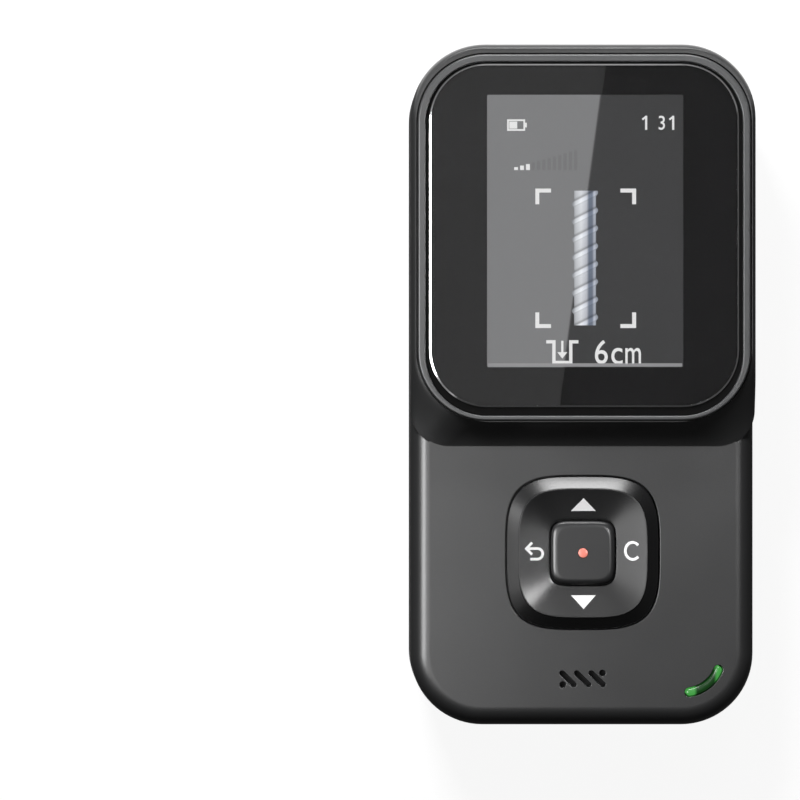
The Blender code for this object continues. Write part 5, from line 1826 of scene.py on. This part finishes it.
    def key(self) -> None:
        """Build the centre key and its small light."""
        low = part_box("centre_button")[0].z
        top = self.panel + self.key_rise * MM
        flange = self.key_size + self.key_flange
        flange_top = low + self.flange_thickness * MM
        profile = [(flange, low), (flange, flange_top), (self.key_size, flange_top)]
        for x, y in quarter(steps=14):
            height = top - self.key_bevel_drop * (1 - y) * MM
            profile.append((self.key_size - 2 * self.key_bevel * (1 - x), height))
        key = stacked("centre_key", self.key_outline, profile)
        inner = self.key_outline(self.key_size - 2 * self.wall)
        light_low, light_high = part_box("button_light")
        place = (0.0, self.centre_y)
        radius = light_high.x
        wide = radius + self.light_gap * MM
        seat = [
            (wide, light_low.z - self.light_foot * MM),
            (wide, top - self.light_lip * MM),
            (wide + self.light_flare * MM, top + MM),
        ]
        hollow = prism("key_hollow", inner, low - MM, top - self.key_hollow * MM)
        work(key, [hollow, turned("light_seat", seat, place)], "DIFFERENCE")
        dress(smoothed(key, angle=40), KEYS, Body.CENTRE_BUTTON, "key_plastic", "centre_button")
        dome = [(radius, light_low.z)]
        for x, y in arc(1.0, (0.0, 0.0), 0, self.dome_turn, steps=7):
            dome.append((radius * x, top + (light_high.z - top) * y))
        lens = smoothed(turned("key_light", dome, place), angle=60)
        dress(lens, RED, Body.CENTRE_BUTTON, "red_light", "button_light")

    def build(self) -> None:
        """Build the pad, its marks, the key and its light."""
        self.pad()
        self.arrows()
        self.back_mark()
        self.clear_mark()
        self.key()


@dataclass
class Grille:
    """Slanting slots and round holes over the sounder, with dust cloth behind them."""

    from_foot: float = 9.3
    pitch: float = 2.77
    half_x: float = 1.12
    half_y: float = 1.10
    width: float = 0.93
    dot_radius: float = 0.57
    dot_x: float = 3.78
    crown: float = 0.04

    def __post_init__(self) -> None:
        """Take the place from the construction model."""
        self.centre_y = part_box("front_shell")[0].y + self.from_foot * MM

    def slot(self, x: float) -> Widened:
        """Give a slot's form.

        Args:
            x: The x of its centre, in millimetres.

        Returns:
            What gives its outline for a margin.
        """
        reach = hypot(self.half_x, self.half_y)
        way = (self.half_x / reach, -self.half_y / reach)
        centre = (x * MM, self.centre_y)
        return lambda margin: capsule(centre, way, reach * MM, self.width * MM + 2 * margin)

    def hole(self, side: int) -> Widened:
        """Give the outline of a round hole, widened by a margin, for its side."""
        spot = (side * self.dot_x * MM, self.centre_y + side * self.half_y * MM)
        return lambda margin: circle(self.dot_radius * MM + margin, *spot, steps=22)

    def outlines(self) -> list[tuple[str, Widened]]:
        """Give each opening as a name and its outline for a margin."""
        slots = [(f"grille_slot_{n}", self.slot((n - 1) * self.pitch)) for n in range(3)]
        return slots + [(f"grille_hole_{side + 1}", self.hole(side)) for side in (1, -1)]

    def cloth(self) -> None:
        """Build the dust cloth as a woven sheet that bulges slightly between its edges."""
        low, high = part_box("speaker_cloth")
        place = ((low.x + high.x) / 2, (low.y + high.y) / 2)
        crown = self.crown * MM
        profile = [(high.x, low.z), (high.x, high.z - crown)]
        for rest in [1 - share for share in shares(10, first=1)[:-1]]:
            profile.append((high.x * rest, high.z - crown * rest**2))
        cloth = smoothed(turned("dust_cloth", profile, place), angle=50)
        dress(cloth, FELT, Body.HOUSING, "felt", "speaker_cloth")


@dataclass
class StatusLight:
    """The green light guide near the right foot of the panel."""

    centre_x: float = 19.3
    from_foot: float = 13.7
    radius: float = 7.0
    start: float = -82.0
    turn: float = 60.0
    width: float = 1.3
    narrowest: float = 0.12
    clearance: float = 0.25
    proud: float = 0.2
    sunk: float = 0.15
    root: float = 1.5
    dome_turn: float = 84.0

    def __post_init__(self) -> None:
        """Take the place from the construction model."""
        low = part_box("front_shell")[0]
        self.centre = (self.centre_x * MM, low.y + self.from_foot * MM)
        self.low, self.high = (corner.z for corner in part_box("status_light"))

    def outline(self, width: float) -> Outline:
        """Outline of the arc with round ends, for a width in metres."""
        middle = arc(self.radius * MM, self.centre, self.start, self.turn, steps=24)
        return stroke(middle, width, Ends.ROUND)

    def slot_outline(self, margin: float) -> Outline:
        """Outline of the slot in the panel, widened by a margin."""
        return self.outline((self.width + 2 * self.clearance) * MM + 2 * margin)

    def build(self) -> None:
        """Build the light guide with a domed face."""
        width = self.width * MM
        rise = (self.proud + self.sunk) * MM
        profile = [(width, self.low + self.root * MM)]
        for x, y in arc(1.0, (0.0, 0.0), 0, self.dome_turn, steps=8):
            profile.append((width * max(self.narrowest, x), self.high - rise + rise * y))
        guide = smoothed(stacked("status_light_guide", self.outline, profile), angle=60)
        dress(guide, GuideLight(), Body.HOUSING, "green_light", "status_light")


class Inside:
    """What is fixed to the back and what is inside, from the construction model's own forms."""

    finishes = {
        finish.name: finish
        for finish in (BACK, INNER, FOAM, RUBBER, LAMP, BOARD, FILM, STEEL, SPRING, COPPER, SLEEVE, FELT)
    }
    families = {
        "wear_pad": "foot",
        "case_screw": "back_screw",
        "battery_spring": "cell_spring",
        "contact_plate": "cell_contact",
        "battery": "cell",
    }

    def piece_name(self, node: str) -> str:
        """Name the piece that stands for a node that shows.

        Args:
            node: The node's name.

        Returns:
            The name of the piece, or nothing for a node that is hidden inside.
        """
        if node == "battery_door":
            return "door_cover"
        family, _, number = node.rpartition("_")
        return f"{self.families[family]}_{number}" if family in self.families else ""

    def smooth_copy(self, node: Thing, name: str, finish: Finish) -> None:
        """Build a piece from a node's form, with smooth rounds and flat faces.

        Args:
            node: The node.
            name: The name of the piece.
            finish: Its finish.
        """
        bm = bmesh.new()
        bm.from_mesh(node.data)
        bmesh.ops.remove_doubles(bm, verts=bm.verts, dist=MERGE)
        piece = smoothed(add_object(name, bm), angle=24)
        body = Body.BATTERY_DOOR if name == "door_cover" else Body.HOUSING
        dress(piece, finish, body, finish.name, node.name)
        if finish is SLEEVE:
            end_face = 0.9
            second_look(piece, STEEL, lambda normal: abs(normal.y) > end_face)

    def build(self, nodes: dict[str, Thing]) -> None:
        """Build the pieces that show, and give the other nodes their finishes.

        Args:
            nodes: The construction model's nodes by name.
        """
        for name, node in sorted(nodes.items()):
            if node.hide_render:
                continue
            slots = node.data.materials
            slot = slots[0].name.split(".")[0] if slots else "inner_plastic"
            finish = self.finishes.get(slot, INNER)
            piece = self.piece_name(name)
            if piece:
                self.smooth_copy(node, piece, finish)
                continue
            slots.clear()
            slots.append(finish.material())
            LOG.info("%s keeps its form and takes %s", name, finish.name)


@dataclass(frozen=True)
class Lamp:
    """A rectangular lamp that faces the object.

    Attributes:
        name: Its name.
        place: Its place, in millimetres.
        size: Its width and height, in millimetres.
        power: Its power in watts.
        mirrored: Whether glossy pieces mirror it.
        lights: Whether it lights matt surfaces.
    """

    name: str
    place: Place
    size: Point
    power: float
    mirrored: bool = True
    lights: bool = True

    def put_up(self, target: Vector) -> None:
        """Put it up, facing a target.

        Args:
            target: The target, in metres.
        """
        data = bpy.data.lights.new(self.name, "AREA")
        data.shape = "RECTANGLE"
        data.size, data.size_y = (side * MM for side in self.size)
        data.energy = self.power
        lamp = bpy.data.objects.new(self.name, data)
        lamp.location = Vector(self.place) * MM
        lamp.rotation_mode = "QUATERNION"
        lamp.rotation_quaternion = (target - lamp.location).to_track_quat("-Z", "Y")
        lamp.visible_camera = False
        lamp.visible_glossy = self.mirrored
        lamp.visible_diffuse = self.lights
        bpy.context.scene.collection.objects.link(lamp)


@dataclass(frozen=True)
class Card:
    """A card that only reflections show.

    Attributes:
        name: Its name.
        corners: Its corners, in millimetres.
        level: How bright it is.
        soft: Whether it also shades the plain light of the studio.
    """

    name: str
    corners: list[Place]
    level: float
    soft: bool = False

    def put_up(self) -> None:
        """Put it up."""
        bm = bmesh.new()
        bm.faces.new([bm.verts.new(Vector(corner) * MM) for corner in self.corners])
        card = add_object(self.name, bm)
        material = bpy.data.materials.new(self.name)
        material.use_nodes = True
        tree = material.node_tree
        values = {"Base Color": (0.0, 0.0, 0.0, 1.0), "Specular IOR Level": 0.0, "Emission Color": WHITE}
        feed_all(tree, tree.nodes["Principled BSDF"], {**values, "Emission Strength": self.level})
        card.data.materials.append(material)
        card.visible_camera = False
        card.visible_diffuse = self.soft
        card.visible_shadow = False


def level_card(x: Point, y: Point, z: float) -> list[Place]:
    """Corners of a level rectangle."""
    return [(x[0], y[0], z), (x[1], y[0], z), (x[1], y[1], z), (x[0], y[1], z)]


def side_card(x: float, y: Point, z: Point) -> list[Place]:
    """Corners of an upright rectangle beside the object."""
    return [(x, y[0], z[0]), (x, y[1], z[0]), (x, y[1], z[1]), (x, y[0], z[1])]


LAMPS = (
    Lamp("key_lamp", (-130.0, 300.0, 330.0), (100.0, 100.0), 2.5, mirrored=False),
    Lamp("top_strip", (0.0, 600.0, 240.0), (500.0, 60.0), 2.25),
    Lamp("left_box", (-305.0, -5.0, 490.0), (280.0, 480.0), 6.5, lights=False),
    Lamp("right_box", (250.0, 60.0, 545.0), (110.0, 110.0), 1.3, lights=False),
    Lamp("flank_strip", (40.0, 600.0, 336.0), (420.0, 160.0), 3.6, lights=False),
)
CARDS = (
    Card("ceiling_card", level_card((-1200, 1200), (-1200, 1200), 1000), 0.15),
    Card("glare_card", [(-220, -260, 400), (-17.7, -260, 400), (58.2, 300, 400), (-220, 300, 400)], 0.40),
    Card("panel_card", [(-170, -190, 390), (-50, -190, 390), (-10, -30, 390), (-170, -30, 390)], 3.0),
    Card("right_line", level_card((430, 640), (0, 130), 500), 0.55),
    Card("top_line", level_card((-60, 90), (460, 680), 500), 0.30),
    Card("foot_glow", level_card((-60, 120), (140, 280), 500), 4.0),
    Card("left_glow", side_card(-94, (-120, 60), (50, 78)), 0.12),
    Card("left_card", side_card(-95, (-200, 66), (0, 70)), 0.06, True),
    Card("left_sheet", level_card((-34, -95), (-200, 66), 0.2), 0.06),
    Card("right_card", side_card(75, (-200, 66), (0, 160)), 0.06, True),
    Card("right_sheet", level_card((34, 75), (-200, 66), 0.2), 0.06),
    Card("foot_card", [(-95, -115, 0), (75, -115, 0), (75, -115, 280), (-95, -115, 280)], 0.04, True),
    Card("foot_sheet", level_card((-34, 34), (-115, -66), 0.2), 0.04),
)


@dataclass
class Studio:
    """Camera, floor, lights and the cards that the glossy pieces reflect."""

    camera_place: Place = (-34.7, -2.7, 548.0)
    focal_length: float = 123.9
    sensor_width: float = 36.0
    target: Place = (0.0, 10.0, 25.0)
    ambient: float = 0.06
    floor_colour: float = 0.12
    floor_light: float = 0.92
    floor_gap: float = 0.05
    floor_half: float = 4.0
    clip: Point = (0.01, 10.0)

    def camera(self) -> None:
        """Put up the camera, which looks straight down."""
        data = bpy.data.cameras.new("camera")
        data.lens = self.focal_length
        data.sensor_width = self.sensor_width
        data.clip_start, data.clip_end = self.clip
        camera = bpy.data.objects.new("camera", data)
        camera.location = Vector(self.camera_place) * MM
        bpy.context.scene.collection.objects.link(camera)
        bpy.context.scene.camera = camera

    def seen_directly(self, tree: Tree) -> Socket:
        """Tell rays that show the background, seen, mirrored or through glass, from others.

        Args:
            tree: Where its nodes go.

        Returns:
            A socket that is 1 for them and 0 for the others.
        """
        path = tree.nodes.new("ShaderNodeLightPath").outputs
        seen = maths(tree, "MAXIMUM", path["Is Camera Ray"], path["Is Glossy Ray"])
        return maths(tree, "MAXIMUM", seen, path["Is Transmission Ray"])

    def world(self) -> None:
        """Set the world: white where it is seen, and a low plain light otherwise."""
        world = bpy.data.worlds.new("studio")
        world.use_nodes = True
        tree = world.node_tree
        lift = maths(tree, "MULTIPLY", self.seen_directly(tree), 1.0 - self.ambient)
        strength = maths(tree, "ADD", lift, self.ambient)
        feed_all(tree, tree.nodes["Background"], {"Color": WHITE, "Strength": strength})
        bpy.context.scene.world = world
        bpy.context.scene.view_settings.view_transform = "Standard"

    def floor(self) -> None:
        """Lay the white floor, which keeps the shadow."""
        bm = bmesh.new()
        bmesh.ops.create_grid(bm, x_segments=1, y_segments=1, size=self.floor_half)
        floor = add_object("floor", bm)
        floor.location.z = -self.floor_gap * MM
        material = bpy.data.materials.new("floor")
        material.use_nodes = True
        tree = material.node_tree
        values = {
            "Base Color": (*(self.floor_colour,) * 3, 1.0),
            "Roughness": 1.0,
            "Specular IOR Level": 0.0,
            "Emission Color": WHITE,
            "Emission Strength": maths(tree, "MULTIPLY", self.seen_directly(tree), self.floor_light),
        }
        feed_all(tree, tree.nodes["Principled BSDF"], values)
        floor.data.materials.append(material)

    def keep_off(self, lamp: str, names: tuple[str, ...]) -> None:
        """Keep a lamp's light off some pieces.

        Args:
            lamp: The lamp's name.
            names: The names of the pieces.
        """
        pieces = bpy.data.collections.new(f"{lamp}_off")
        for name in names:
            pieces.objects.link(bpy.data.objects[name])
        for row in pieces.collection_objects:
            row.light_linking.link_state = "EXCLUDE"
        bpy.data.objects[lamp].light_linking.receiver_collection = pieces

    def build(self) -> None:
        """Put up the whole studio."""
        self.camera()
        self.world()
        self.floor()
        for lamp in LAMPS:
            lamp.put_up(Vector(self.target) * MM)
        for card in CARDS:
            card.put_up()


def main() -> None:
    """Build every piece of the scanner round the construction model."""
    logging.basicConfig(level=logging.INFO, format="%(message)s")
    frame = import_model()
    studio = Studio()
    studio.build()
    screen = Screen()
    keypad = Keypad()
    grille = Grille()
    light = StatusLight()
    housing = Housing()
    housing.front_cover(keypad, grille, light)
    BackCover(housing).build()
    Head().build(screen)
    screen.build()
    keypad.build()
    grille.cloth()
    light.build()
    Inside().build(frame["nodes"])
    studio.keep_off("flank_strip", ("front_cover", "cover_glass", "centre_key"))


if __name__ == "__main__":
    main()
